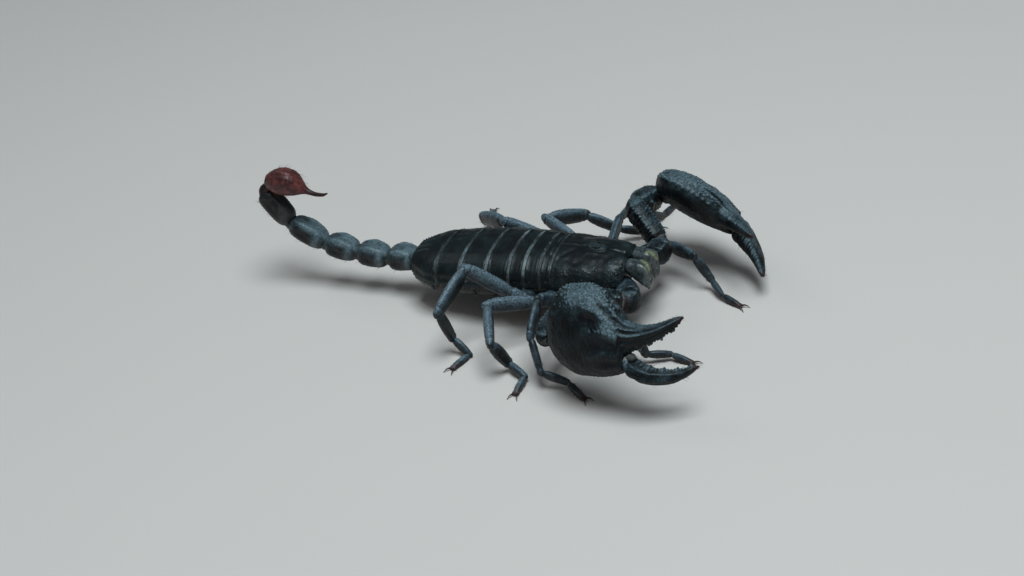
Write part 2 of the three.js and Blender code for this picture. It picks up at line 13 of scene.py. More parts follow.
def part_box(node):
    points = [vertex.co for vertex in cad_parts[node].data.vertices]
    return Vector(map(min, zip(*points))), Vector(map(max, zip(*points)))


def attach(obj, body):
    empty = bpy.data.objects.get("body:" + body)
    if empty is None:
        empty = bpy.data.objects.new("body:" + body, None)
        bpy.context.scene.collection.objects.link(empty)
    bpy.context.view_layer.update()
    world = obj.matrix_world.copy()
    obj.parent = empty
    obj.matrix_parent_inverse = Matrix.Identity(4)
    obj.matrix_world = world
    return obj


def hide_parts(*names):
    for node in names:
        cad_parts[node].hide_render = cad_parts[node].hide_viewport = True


bl_info = {
    "name": "Forest scorpion",
    "version": (1, 0, 0),
    "blender": (4, 5, 0),
    "location": "View3D > Sidebar > Scorpion",
    "description": "Builds a life-size forest scorpion on its CAD frame, piece by piece, with a studio stage",
    "category": "Add Mesh",
}

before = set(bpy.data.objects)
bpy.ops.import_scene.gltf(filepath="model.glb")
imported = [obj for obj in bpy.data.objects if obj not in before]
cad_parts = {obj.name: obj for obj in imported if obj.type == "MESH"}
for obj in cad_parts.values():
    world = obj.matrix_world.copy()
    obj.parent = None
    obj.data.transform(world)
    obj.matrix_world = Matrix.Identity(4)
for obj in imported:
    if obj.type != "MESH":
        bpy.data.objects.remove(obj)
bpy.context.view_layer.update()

# ------------------------------------------------------------------ sizes, in millimetres
# The trunk is drawn level with the carapace's rear edge at y = 0, then tipped nose-up and raised.
LEFT, RIGHT = 1, -1
SIDES = {"left": LEFT, "right": RIGHT}
TRUNK_RAISE, TRUNK_PITCH = 4.6, 3.0
SEAM_Z, BELLY_Z = 6.0, 2.3
CARAPACE_LENGTH, CARAPACE_NOTCH, CARAPACE_END = 16.5, 1.1, -0.15
CARAPACE_WIDTHS = (12.6, 18.6)
CARAPACE_CRESTS = (10.4, 12.4)
# Where the eye mound is, and its half width and half length.
TUBERCLE_Y, MOUND_X, MOUND_Y = -8.6, 1.45, 2.3
# Length, width and crest height of each upper plate.
TERGITES = ((2.7, 18.9, 12.6), (3.6, 19.6, 12.8), (3.6, 20.1, 12.9), (5.4, 20.5, 12.85),
            (6.4, 20.2, 12.6), (6.4, 18.8, 12.0), (8.4, 9.4, 9.9))
STERNITE_EDGES = (8.8, 13.6, 18.6, 23.8, 29.4, 36.2)
# Far legs that look slimmer than the others, by side and number.
SLIM_SHIN = {(LEFT, 2): 0.64}
TAIL_START = (0.0, 36.7, 6.9)
# Length, width, height and lift in degrees of each tail ring.
TAIL = ((7.5, 6.6, 5.6, -3), (8.0, 6.1, 5.6, 4), (8.3, 5.8, 5.5, 12), (9.6, 5.5, 5.4, 30), (9.6, 5.2, 5.2, 54))
STING_LIFT, STING_BACK, STING_RISE = 174, -1.7, 2.4
BULB_WIDTH, BULB_HEIGHT = 5.8, 6.7
ARM_ROOT = (7.5, -17.6, 4.6)
ARM_SIZES = {"trochanter": (4.6, 5.4, 5.6), "femur": (11.6, 4.6, 5.6), "patella": (12.2, 5.4, 6.0)}
WRIST_AHEAD, WRIST_UNDER, WRIST_OUT = 4.0, 2.8, 3.0
# Heading and lift of each segment in degrees, and the pincer's tilt about its length.
ARM_POSE = {
    RIGHT: {"trochanter": (74, 14), "femur": (149.8, 17.2), "patella": (108.3, -16.2), "chela": (8, 12), "tilt": 64},
    LEFT: {"trochanter": (78, 10), "femur": (144.4, 29.9), "patella": (83.3, -15.5), "chela": (-32, -1), "tilt": 49},
}
# Distance from the wrist, inner edge, outer edge, depth, and set towards the under side.
PALM = ((-2.0, 1.9, 4.1, 2.4, 2.8), (-0.6, 1.2, 4.3, 3.1, 2.5), (0.2, -1.2, 4.7, 4.4, 1.6),
        (1.3, -4.4, 5.6, 5.9, 0.7), (3.8, -7.9, 7.7, 7.5, 0.1), (7.5, -9.3, 9.4, 8.2, 0),
        (11.7, -9.2, 9.7, 8.1, 0), (14.8, -7.6, 9.5, 7.4, 0.1), (16.9, -5.2, 9.1, 6.5, 0.2),
        (18.1, -3.4, 8.5, 6.0, 0.3), (18.6, -2.6, 5.4, 5.2, 0.3), (19.4, -1.7, 4.7, 4.6, 0.3),
        (21.2, -1.0, 3.9, 4.0, 0.4), (23.2, -0.7, 3.1, 3.4, 0.6), (25.6, -0.9, 2.2, 2.9, 0.8),
        (28.0, -1.5, 0.9, 2.3, 1.1), (30.0, -2.1, -0.4, 1.7, 1.4), (31.5, -2.3, -1.7, 0.6, 1.6))
MOVING_FINGER = ((18.5, 5.6, 8.9, 4.2, 0.7), (19.6, 6.0, 10.3, 5.0, 1.2), (21.2, 7.6, 11.2, 4.4, 2.1),
                 (23.4, 8.7, 11.7, 3.6, 3.2), (25.8, 9.1, 11.7, 3.0, 4.5), (28.2, 9.0, 10.9, 2.3, 5.8),
                 (30.0, 8.5, 9.7, 1.6, 6.7), (30.9, 8.35, 8.9, 0.6, 7.1))
# Hip, the five lengths, and a factor on the thickness of each leg.
LEGS = (((9.4, -11.6, 4.2), (9.8, 9.2, 6.8, 5.2, 5.4), 0.86), ((10.6, -6.0, 4.6), (10.8, 8.8, 7.9, 6.0, 5.7), 0.93),
        ((11.4, 0.4, 4.8), (13.4, 10.8, 8.5, 5.8, 5.4), 1.0), ((11.4, 6.3, 5.0), (14.4, 11.6, 9.6, 5.3, 5.7), 1.0))
LEG_SECTION = {"femur": (2.2, 3.3), "patella": (2.3, 3.5), "tibia": (1.9, 2.7), "basitarsus": (1.6, 2.1),
               "telotarsus": (1.5, 1.9)}
# Heading and lift of four segments and the heading of the foot, from leg I to leg IV.
LEG_POSE = {
    RIGHT: (((85, -8), (-8, 5), (-10, -70), (-25, -9), 8), ((119, 30), (86, -30), (52, -53), (-5, -20), 30),
            ((141, 13), (66, -15), (-67, -62), (31, -8), 93), ((161, 39), (107, -28), (-86, -68), (14, -40), 109)),
    LEFT: (((53, -9), (-31, 5), (-3, -58), (-46, -16), -23), ((96, 8), (88, -6), (75, -50), (75, -31), 80),
           ((151, 10), (52, -18), (18, -32), (28, -18), 60), ((173, 15), (144, -18), (116, -34), (105, -28), 105)),
}
FOOT_REST, SOLE_CLEARANCE = 0.34, 0.012
# Inner end of each coxa on the belly, from leg I to leg IV.
COXA_ROOTS = ((1.7, -10.4, 4.0), (1.5, -6.8, 3.9), (1.5, -2.4, 3.9), (1.9, 2.4, 3.9))

# Least height of any point over the floor, in metres.
FLOOR_GAP = 0.00001
BRISTLE_SEED = 5
# The stage: floor and lights in metres, the camera's place in millimetres, angles in degrees.
FLOOR_SIZE = 6.0
LIGHT_TARGET = (0.0, -0.005, 0.012)
# Name, azimuth, elevation, distance, size, part of the light power, and colour of each light.
LIGHTS = (("sky_light", -125, 74, 0.75, 0.42, 1.5, (0.78, 0.94, 1.0)),
          ("key_light", 80, 50, 0.9, 0.4, 0.16, (0.9, 0.96, 1.0)),
          ("fill_light", 178, 50, 0.9, 0.5, 0.06, (1.0, 1.0, 1.0)))
AIR_COLOUR, AIR_STRENGTH = (0.74, 0.9, 1.0, 1), 0.1
CAMERA_PLACE = (-323.35, -157.36, 232.66)
CAMERA_AZIMUTH, CAMERA_ELEVATION, CAMERA_ROLL = -62, 32, -10

carapace_low, carapace_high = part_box("carapace")
PITCH = math.radians(TRUNK_PITCH)
REAR_EDGE = CARAPACE_END * math.cos(PITCH) + CARAPACE_CRESTS[1] * math.sin(PITCH)
SHIFT = np.array([(carapace_low.x + carapace_high.x) * 500, carapace_high.y * 1000 - REAR_EDGE, 0.0])

GROWN = {}  # surfaces that carry bristles, by name, kept while the pieces are built


# ------------------------------------------------------------------ shape tools
def direction(side, heading, lift):
    turn, rise = math.radians(heading), math.radians(lift)
    return np.array([side * math.sin(turn) * math.cos(rise), -math.cos(turn) * math.cos(rise), math.sin(rise)])


def limb_axes(side, angles, origin):
    """Origin and axes of a segment: X along it, Y level, Z its upper side."""
    along = direction(side, *angles)
    turn = math.radians(angles[0])
    level = np.array([math.cos(turn), side * math.sin(turn), 0.0])
    return np.asarray(origin, float), along, level, np.cross(along, level)


def tip_trunk(points):
    """Moves points of the level trunk to where it stands, tipped nose-up and raised."""
    points = np.asarray(points, float)
    s, c = math.sin(PITCH), math.cos(PITCH)
    x, y, z = points[..., 0], points[..., 1], points[..., 2]
    return np.stack([x, c * y + s * z, -s * y + c * z + TRUNK_RAISE], axis=-1)


def trunk_axes(point=(0, 0, 0)):
    """The trunk's axes, with X towards its rear, and their origin at a point of it."""
    return (np.asarray(point, float), np.array([0.0, 1.0, 0.0]), np.array([-1.0, 0.0, 0.0]),
            np.array([0.0, 0.0, 1.0]))


def unit(vectors):
    return vectors / np.maximum(np.linalg.norm(vectors, axis=-1, keepdims=True), 1e-9)


def signed_power(values, exponent):
    return np.sign(values) * np.abs(values) ** exponent


def squared_circle(angles, power):
    """A circle at power 2 that grows square as the power rises."""
    return signed_power(np.cos(angles), 2 / power), signed_power(np.sin(angles), 2 / power)


def eased(knots, values, x):
    """A smooth curve through the values at the knots that never overshoots them."""
    knots, values, x = np.asarray(knots, float), np.asarray(values, float), np.asarray(x, float)
    h = np.diff(knots)
    d = np.diff(values) / h
    m = np.empty_like(values)
    m[0], m[-1] = d[0], d[-1]
    for i in range(1, len(values) - 1):
        a, b = 2 * h[i] + h[i - 1], h[i] + 2 * h[i - 1]
        m[i] = 0 if d[i - 1] * d[i] <= 0 else (a + b) / (a / d[i - 1] + b / d[i])
    i = np.clip(np.searchsorted(knots, x) - 1, 0, len(h) - 1)
    t = np.clip((x - knots[i]) / h[i], 0, 1)
    return ((1 + 2 * t) * (1 - t) ** 2 * values[i] + t * (1 - t) ** 2 * h[i] * m[i]
            + t * t * (3 - 2 * t) * values[i + 1] + t * t * (t - 1) * h[i] * m[i + 1])


def sized(wide, high, *rows):
    """Rows for a tube whose widths and heights are given as parts of its own."""
    return [(x, wide * w, high * h, *shift) for x, w, h, *shift in rows]


def run_lengths(points):
    """Distance along a line of points from its start."""
    return np.concatenate([[0], np.cumsum(np.linalg.norm(np.diff(points, axis=0), axis=1))])


def fade(x, low, high):
    t = np.clip((x - low) / (high - low), 0, 1)
    return t * t * (3 - 2 * t)


def hump(x, at, wide):
    return np.exp(-((x - at) / wide) ** 2)


def keel(a, at, wide):
    """A ridge that runs along a limb at an angle round it, both in degrees."""
    away = (np.degrees(a) - at + 180) % 360 - 180
    return np.exp(-(away / wide) ** 2)


def keels(a, wide, *places):
    """Ridges of one width; a place is an angle, or an angle and a height."""
    pairs = [place if isinstance(place, tuple) else (place, 1) for place in places]
    return sum(keel(a, at, wide) * height for at, height in pairs)


def beads(x, pitch, depth=0.7):
    return 1 - depth * (0.5 - 0.5 * np.cos(2 * np.pi * x / pitch))


def wrinkles(depth, pitch):
    """A relief of fine folds across a piece of soft skin."""
    return lambda x, a, points: depth * np.sin(x * 2 * np.pi / pitch)


def even(value):
    """A mask that is the same all over."""
    return lambda x, a, points: np.full(x.shape, float(value))


def scattered(cells, seed):
    """Even values from 0 to 1 that are always the same for the same cell."""
    value = np.sin(cells @ np.array([127.1, 311.7, 74.7]) + seed * 17.17) * 43758.5453
    return value - np.floor(value)


def granules(points, size, seed, cover=0.8):
    """Round grains of unit height scattered over a surface about `size` apart."""
    cells = np.floor(points / size)
    best = np.zeros(points.shape[:-1])
    for step in itertools.product((-1, 0, 1), repeat=3):
        cell = cells + np.array(step)
        spot = np.stack([scattered(cell, seed + k) for k in range(3)], axis=-1)
        away = np.linalg.norm(points / size - cell - 0.2 - 0.6 * spot, axis=-1)
        reach = 0.3 + 0.22 * scattered(cell, seed + 5)
        grain = np.clip(1 - (away / reach) ** 2, 0, 1) * (scattered(cell, seed + 7) < cover)
        best = np.maximum(best, grain)
    return best


def ripple(points, size, seed):
    """Soft unevenness between -1 and 1."""
    x, y, z = (points[..., k] / size for k in range(3))
    return (np.sin(x * 2.1 + seed + 1.3 * np.sin(y * 1.7 + seed)) * 0.4
            + np.sin(y * 2.9 + 2.2 * seed + 1.1 * np.sin(z * 2.3)) * 0.35
            + np.sin(z * 3.3 + 0.7 * seed + 1.2 * np.sin(x * 2.7)) * 0.25)


def grid_normals(points, ring_closed):
    if ring_closed:
        around = np.roll(points, -1, axis=1) - np.roll(points, 1, axis=1)
    else:
        around = np.gradient(points, axis=1)
    return unit(np.cross(np.gradient(points, axis=0), around))


def grid_faces(rings, sides, closed, start=0):
    i = np.arange(rings - 1)[:, None]
    j = np.arange(sides if closed else sides - 1)[None, :]
    a = start + i * sides + j
    b = start + i * sides + (j + 1) % sides
    return np.stack([a, b, b + sides, a + sides], axis=-1).reshape(-1, 4)


class Shape:
    """One closed surface: its points, four-sided and three-sided faces, and masks at its points."""

    def __init__(self, points, quads, tris, masks):
        self.points, self.quads, self.tris, self.masks = points, quads, tris, masks
        self.skin = None  # points, normals, distances and angles of the rings that bristles may grow from


def close_tube(points, masks, outwards):
    """A tube from rings of points, with a hub at each end and its faces turned outwards."""
    rings, sides = points.shape[:2]
    quads = grid_faces(rings, sides, True)
    first, last, base = rings * sides, rings * sides + 1, (rings - 1) * sides
    j = np.arange(sides)
    k = (j + 1) % sides
    front = np.stack([np.full(sides, first), k, j], axis=-1)
    back = np.stack([np.full(sides, last), base + j, base + k], axis=-1)
    tris = np.concatenate([front, back])
    if outwards > 0:
        quads, tris = quads[:, ::-1], tris[:, ::-1]
    flat = np.concatenate([points.reshape(-1, 3), [points[0].mean(axis=0)], [points[-1].mean(axis=0)]])
    full = {k: np.concatenate([v.reshape(-1), [v[0].mean()], [v[-1].mean()]]) for k, v in masks.items()}
    return Shape(flat, quads, tris, full)


def finished_rings(points, middle, along, a, relief, tint, place, weight=1, body=slice(None)):
    """Gives rings of points round a middle line their relief and masks, and closes them."""
    normals = grid_normals(points, True)
    facing = np.sign(np.sum(normals[body] * (points[body] - middle[body, None]), axis=-1).mean())
    grid_x, grid_a = np.broadcast_arrays(along[:, None], a[None, :])
    raised = tinted = np.zeros(points.shape[:2])
    if relief:
        raised = relief(grid_x, grid_a, points) * weight
        points = points + normals * facing * raised[..., None]
    if tint:
        tinted = tint(grid_x, grid_a, points)
    if place:
        points = place(points)
        normals = grid_normals(points, True)
    shape = close_tube(points, {"raised": raised, "tint": tinted}, facing)
    shape.skin = (points[body], normals[body] * facing, along[body], a)
    return shape


def tube(axes, rows, power=2.3, sides=40, step=0.2, relief=None, tips=(0.4, 0.4), dome=5, tint=None, place=None):
    """A limb-like body. Rows hold distance, width, height, and the middle's side and upward shift."""
    rows = [tuple(row) + (0.0,) * (5 - len(row)) for row in rows]
    knots = [row[0] for row in rows]
    count = max(int((knots[-1] - knots[0]) / step), 4)
    x = np.linspace(knots[0], knots[-1], count)
    wide, high, over, up = (np.pad(eased(knots, [row[k] for row in rows], x), dome, "edge")[:, None]
                            for k in (1, 2, 3, 4))
    turn = np.linspace(0, np.pi / 2, dome + 1)[1:] * 0.97
    scale = np.concatenate([np.cos(turn[::-1]), np.ones(count), np.cos(turn)])[:, None]
    along = np.concatenate([knots[0] - tips[0] * np.sin(turn[::-1]), x, knots[-1] + tips[1] * np.sin(turn)])
    a = np.linspace(0, 2 * np.pi, sides, endpoint=False)
    ey, ez = squared_circle(a, power)
    y, z = over + wide * scale / 2 * ey, up + high * scale / 2 * ez
    origin, ax, ay, az = axes
    points = origin + along[:, None, None] * ax + y[..., None] * ay + z[..., None] * az
    middle = origin + along[:, None] * ax + over * ay + up * az
    return finished_rings(points, middle, along, a, relief, tint, place, np.minimum(1, scale * 1.2),
                          slice(dome, dome + count))


def sweep(rows, sides=16, steps=24, power=2.0, relief=None, tint=None, upright=(0, 0, 1), place=None):
    """A curved horn or finger through rows of x, y, z, width and height."""
    rows = np.asarray(rows, float)
    knots = run_lengths(rows[:, :3])
    s = np.linspace(0, knots[-1], steps)
    path = np.stack([eased(knots, rows[:, k], s) for k in range(3)], axis=-1)
    wide, high = (eased(knots, rows[:, k], s)[:, None, None] for k in (3, 4))
    ahead = unit(np.gradient(path, axis=0))
    level = unit(np.cross(np.broadcast_to(np.asarray(upright, float), ahead.shape), ahead))
    over = np.cross(ahead, level)
    a = np.linspace(0, 2 * np.pi, sides, endpoint=False)
    ey, ez = (e[None, :, None] for e in squared_circle(a, power))
    points = path[:, None] + wide / 2 * ey * level[:, None] + high / 2 * ez * over[:, None]
    return finished_rings(points, path, s / knots[-1], a, relief, tint, place)


def plate(base, thick, relief, edge, inwards):
    """A curved shell plate of even thickness with rounded edges, from a grid of points on its outer face."""
    normals = grid_normals(base, False)
    if np.sum(normals * (base - inwards)) < 0:
        normals = -normals
    rows, columns = base.shape[:2]
    along, across = run_lengths(base[:, columns // 2]), run_lengths(base[rows // 2])
    near = np.minimum.outer(np.minimum(along, along[-1] - along), np.minimum(across, across[-1] - across))
    t = 1 - np.clip(near / edge, 0, 1)
    rounding = thick * 0.45 * (1 - np.sqrt(np.maximum(0, 1 - t * t)))
    raised = relief(base)
    outer = base + normals * (raised - rounding)[..., None]
    inner = base - normals * (thick - rounding)[..., None]
    count = rows * columns
    rim = np.concatenate([np.arange(columns), np.arange(1, rows) * columns + columns - 1,
                          (rows - 1) * columns + np.arange(columns - 2, -1, -1),
                          np.arange(rows - 2, 0, -1) * columns])
    after = np.roll(rim, -1)
    quads = np.concatenate([grid_faces(rows, columns, False), grid_faces(rows, columns, False, count)[:, ::-1],
                            np.stack([after, rim, rim + count, after + count], axis=-1)])
    row, column = rows // 2, columns // 2
    across_step = outer[row, column + 1] - outer[row, column]
    along_step = outer[row + 1, column] - outer[row, column]
    if np.dot(np.cross(across_step, along_step), normals[row, column]) < 0:
        quads = quads[:, ::-1]
    points = tip_trunk(np.concatenate([outer.reshape(-1, 3), inner.reshape(-1, 3)]))
    masks = {"raised": np.concatenate([raised.reshape(-1), np.zeros(count)]), "tint": np.zeros(2 * count)}
    return Shape(points, quads, np.zeros((0, 3), int), masks)


def blob(centre, size, axes=None, sides=20, relief=None, place=None, power=2.0, tint=None):
    """A rounded lump with the given lengths along its X, Y and Z, which are the trunk's unless axes are given."""
    _, ax, ay, az = axes or trunk_axes()
    length, width, height = size
    return tube((np.asarray(centre, float), ax, ay, az),
                [(-0.02 * length, width, height), (0.02 * length, width, height)], power, sides, 1, relief,
                tips=(0.48 * length, 0.48 * length), dome=9, tint=tint, place=place)


def build_piece(name, shapes, finish_name, replaces=(), slot=None, uv=None,
                under=0.0, painted_sheen=0.0, level=0.2, spread=0.45):
    """Joins shapes into one smooth object, painting shade by under where it slopes down and sheen where it faces up.
    """
    start, points, quads, tris = 0, [], [], []
    for shape in shapes:
        points.append(shape.points)
        quads.append(shape.quads + start)
        tris.append(shape.tris + start)
        start += len(shape.points)
    points = (np.concatenate(points) + SHIFT) / 1000
    points[:, 2] = np.maximum(points[:, 2], FLOOR_GAP)
    quads, tris = np.concatenate(quads), np.concatenate(tris)
    mesh = bpy.data.meshes.new(name)
    mesh.vertices.add(len(points))
    mesh.vertices.foreach_set("co", points.astype(np.float32).ravel())
    corners = np.concatenate([quads.ravel(), tris.ravel()]).astype(np.int32)
    starts = np.concatenate([np.arange(len(quads)) * 4, len(quads) * 4 + np.arange(len(tris)) * 3])
    mesh.loops.add(len(corners))
    mesh.loops.foreach_set("vertex_index", corners)
    mesh.polygons.add(len(starts))
    mesh.polygons.foreach_set("loop_start", starts.astype(np.int32))
    mesh.update(calc_edges=True)
    mesh.validate()
    mesh.shade_smooth()
    normals = np.empty(len(points) * 3, np.float32)
    mesh.vertices.foreach_get("normal", normals)
    # Painted light by slope: shade darkens down-facing slopes and a sheen lightens up-facing ones, through the raised
    # mask.
    slopes = (level - spread, level, level + 0.05, level + spread)
    painted_slope_light = {"raised": np.interp(normals[2::3], slopes, (-under, 0, 0, painted_sheen)), "tint": 0}
    for key, change in painted_slope_light.items():
        values = np.concatenate([shape.masks[key] for shape in shapes]) + change
        mesh.attributes.new(key, "FLOAT", "POINT").data.foreach_set("value", values.astype(np.float32))
    if uv is not None:
        mesh.uv_layers.new(name="OFBake").data.foreach_set("uv", uv[corners].astype(np.float32).ravel())
    mesh.materials.append(finish(finish_name))
    piece = bpy.data.objects.new(name, mesh)
    bpy.context.scene.collection.objects.link(piece)
    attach(piece, "root")
    if replaces:
        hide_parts(*replaces)


# ------------------------------------------------------------------ finishes
SHELL_IOR, GRAIN_DEPTH, FOLD_DEPTH = 1.47, 0.00012, 0.0001
# The first black darkens the shell's pits and, as painted shade, its down-facing slopes.
PIT_AND_SHADE_BLACK, GRAIN_GAP_BLACK, EYE_BLACK = (0.004, 0.004, 0.005, 1), (0.006, 0.006, 0.007, 1), (0.003, 0.003, 0.004, 1)
COLOUR, VALUE = "NodeSocketColor", "NodeSocketFloat"


def feed(tree, node, inputs):
    """Sets a node's inputs by name or number; each may be a value or the socket that feeds it."""
    for key, value in inputs.items():
        if isinstance(value, bpy.types.NodeSocket):
            tree.links.new(value, node.inputs[key])
        else:
            node.inputs[key].default_value = value


def add_node(tree, kind, inputs=None, **settings):
    node = tree.nodes.new(kind)
    for key, value in settings.items():
        setattr(node, key, value)
    feed(tree, node, inputs or {})
    return node


def math_node(tree, operation, *values, clamp=False):
    return add_node(tree, "ShaderNodeMath", dict(enumerate(values)), operation=operation, use_clamp=clamp).outputs[0]


def mix_colours(tree, factor, one, two):
    return add_node(tree, "ShaderNodeMix", {0: factor, 6: one, 7: two}, data_type="RGBA").outputs[2]


def ramp(tree, value, low, high, to_low=0.0, to_high=1.0):
    return add_node(tree, "ShaderNodeMapRange", {0: value, 1: low, 2: high, 3: to_low, 4: to_high},
                    interpolation_type="SMOOTHSTEP").outputs[0]


def noise(tree, place, scale, detail, roughness=0.5):
    return add_node(tree, "ShaderNodeTexNoise", {"Vector": place, "Scale": scale, "Detail": detail,
                                                 "Roughness": roughness}).outputs["Fac"]


def read_mask(tree, name):
    return add_node(tree, "ShaderNodeAttribute", attribute_name=name).outputs["Fac"]


def bump_node(tree, strength, distance, height):
    return add_node(tree, "ShaderNodeBump", {"Strength": strength, "Distance": distance,
                                             "Height": height}).outputs["Normal"]


def mottle_nodes(group, place, given):
    """Cloudy colour between two colours, darker in pits and greyer on crests, with painted shade and sheen by slope.
    """
    clouds = noise(group, place, given["Scale"], 5.0, 0.62)
    specks = noise(group, place, 2600.0, 3.0)
    raised = read_mask(group, "raised")
    # Crests go towards the crest colour, and so do up-facing slopes as painted sheen.
    crest = math_node(group, "MULTIPLY", ramp(group, raised, 0.05, 0.3), ramp(group, specks, 0.35, 0.62, 0.25, 1.0))
    colour = mix_colours(group, ramp(group, clouds, 0.36, 0.68), given["Dark"], given["Light"])
    colour = mix_colours(group, crest, colour, given["Crest"])
    # Pits go towards black, and so do down-facing slopes as painted shade.
    return {"Color": mix_colours(group, ramp(group, raised, -0.05, -0.3, 0.0, 0.75), colour, PIT_AND_SHADE_BLACK),
            "Crest": crest}


def grain_nodes(group, place, given):
    """Height of the shell's fine shagreen: small round grains, pits and soft dents; and a mask high between the
    grains.
    """
    cells = add_node(group, "ShaderNodeTexVoronoi", {"Vector": place, "Scale": given["Grain Scale"],
                                                     "Smoothness": 0.35}, feature="SMOOTH_F1").outputs["Distance"]
    grains = math_node(group, "MULTIPLY", ramp(group, cells, 0.5, 0.12), given["Grains"])
    patches = ramp(group, noise(group, place, 420.0, 3.0), 0.32, 0.6, 0.3, 1.0)
    grains = math_node(group, "MULTIPLY", grains, patches)
    dents = noise(group, place, 900.0, 4.0)
    return {"Height": math_node(group, "MULTIPLY_ADD", dents, given["Dents"], grains),
            "Dirt": ramp(group, cells, 0.34, 0.62)}


def tint_nodes(group, place, given):
    """Lays a second colour over the first where the piece is masked, with a soft uneven border."""
    uneven = ramp(group, noise(group, place, 1100.0, 3.0), 0.25, 0.7, 0.6, 1.15)
    mask = math_node(group, "MULTIPLY", read_mask(group, "tint"), uneven, clamp=True)
    return {"Color": mix_colours(group, mask, given["Color"], given["Tint"])}


# What each shared node group is made by, its inputs with their defaults, and its outputs.
GROUPS = {
    "shell_mottle": (mottle_nodes, {"Dark": (0.01, 0.012, 0.014, 1), "Light": (0.03, 0.04, 0.045, 1),
                                    "Crest": (0.06, 0.08, 0.09, 1), "Scale": 260.0},
                     {"Color": COLOUR, "Crest": VALUE}),
    "shell_grain": (grain_nodes, {"Grains": 0.5, "Grain Scale": 3200.0, "Dents": 0.5},
                    {"Height": VALUE, "Dirt": VALUE}),
    "shell_tint": (tint_nodes, {"Color": (0.02, 0.02, 0.02, 1), "Tint": (0.12, 0.03, 0.015, 1)}, {"Color": COLOUR}),
}


def place_group(tree, name, inputs):
    """Puts the shared node group of this name into a material, and makes it the first time."""
    group = bpy.data.node_groups.get(name)
    if not group:
        make, defaults, outputs = GROUPS[name]
        group = bpy.data.node_groups.new(name, "ShaderNodeTree")
        for label, default in defaults.items():
            kind = COLOUR if isinstance(default, tuple) else VALUE
            group.interface.new_socket(name=label, in_out="INPUT", socket_type=kind).default_value = default
        for label, kind in outputs.items():
            group.interface.new_socket(name=label, in_out="OUTPUT", socket_type=kind)
        given, result = group.nodes.new("NodeGroupInput"), group.nodes.new("NodeGroupOutput")
        place = add_node(group, "ShaderNodeTexCoord").outputs["Object"]
        feed(group, result, make(group, place, given.outputs))
    return add_node(tree, "ShaderNodeGroup", inputs, node_tree=group).outputs


def paint_shell(tree, place, dark, light, crest, tint, grains=0.5, scale=3200.0, dents=0.5, rough=(0.3, 0.5),
                coat=0.14, coat_rough=0.24, bump=None, clouds=260.0, specular=0.3):
    """Horny shell: cloudy colour, wear-grey crests, painted slope shade and sheen, masked tint, fine grain and an
    uneven gloss.
    """
    if bump is None:
        bump = bpy.context.scene.scorpion_sizes.grain_depth
    mottle = place_group(tree, "shell_mottle", {"Dark": dark, "Light": light, "Crest": crest, "Scale": clouds})
    coloured = place_group(tree, "shell_tint", {"Color": mottle["Color"], "Tint": tint})["Color"]
    grain = place_group(tree, "shell_grain", {"Grains": grains, "Grain Scale": scale, "Dents": dents})
    gloss = ramp(tree, noise(tree, place, 340.0, 5.0, 0.6), 0.3, 0.7, *rough)
    # Darker between the fine grains.
    return {"Base Color": mix_colours(tree, math_node(tree, "MULTIPLY", grain["Dirt"], 0.35), coloured, GRAIN_GAP_BLACK),
            "Roughness": math_node(tree, "MULTIPLY_ADD", mottle["Crest"], 0.1, gloss),
            "Normal": bump_node(tree, bump, GRAIN_DEPTH, grain["Height"]),
            "Coat Weight": coat, "Coat Roughness": coat_rough, "IOR": SHELL_IOR, "Specular IOR Level": specular}


def paint_skin(tree, place, pale, deep, fold):
    """Soft, finely wrinkled skin between the plates."""
    folds = add_node(tree, "ShaderNodeTexWave", {"Vector": place, "Scale": fold, "Distortion": 6.0, "Detail": 3.0},
                     wave_type="BANDS", bands_direction="Y").outputs["Fac"]
    colour = mix_colours(tree, ramp(tree, noise(tree, place, 500.0, 5.0), 0.3, 0.7), deep, pale)
    return {"Base Color": place_group(tree, "shell_tint", {"Color": colour, "Tint": deep})["Color"],
            "Roughness": ramp(tree, folds, 0.0, 1.0, 0.38, 0.6), "Normal": bump_node(tree, 0.5, FOLD_DEPTH, folds),
            "Subsurface Weight": 0.12, "Subsurface Scale": 0.001}


def paint_eye(tree, place, amber):
    """Wet black eyes with a faint amber depth."""
    clouds = noise(tree, place, 1800.0, 4.0)
    return {"Base Color": mix_colours(tree, ramp(tree, clouds, 0.4, 0.75), EYE_BLACK, amber),
            "Roughness": ramp(tree, clouds, 0.3, 0.7, 0.04, 0.1), "Coat Weight": 1.0, "Coat Roughness": 0.03}


def paint_bristle(tree, place, dark, red, pale):
    """Stiff red-brown bristles, darker at the root."""
    shade = noise(tree, place, 700.0, 2.0)
    colour = mix_colours(tree, ramp(tree, shade, 0.3, 0.7), dark, red)
    return {"Base Color": mix_colours(tree, math_node(tree, "MULTIPLY", read_mask(tree, "tint"), 0.45), colour, pale),
            "Roughness": ramp(tree, shade, 0.3, 0.7, 0.3, 0.48)}


def paint_floor(tree, place, colour):
    shaded = (*(0.97 * v for v in colour[:3]), 1)
    return {"Base Color": mix_colours(tree, noise(tree, place, 9.0, 4.0), shaded, colour), "Roughness": 0.75}


TAIL_LOOK = {"grains": 0.5, "scale": 2600.0, "dents": 0.7, "bump": 0.4, "rough": (0.3, 0.48), "clouds": 380.0}
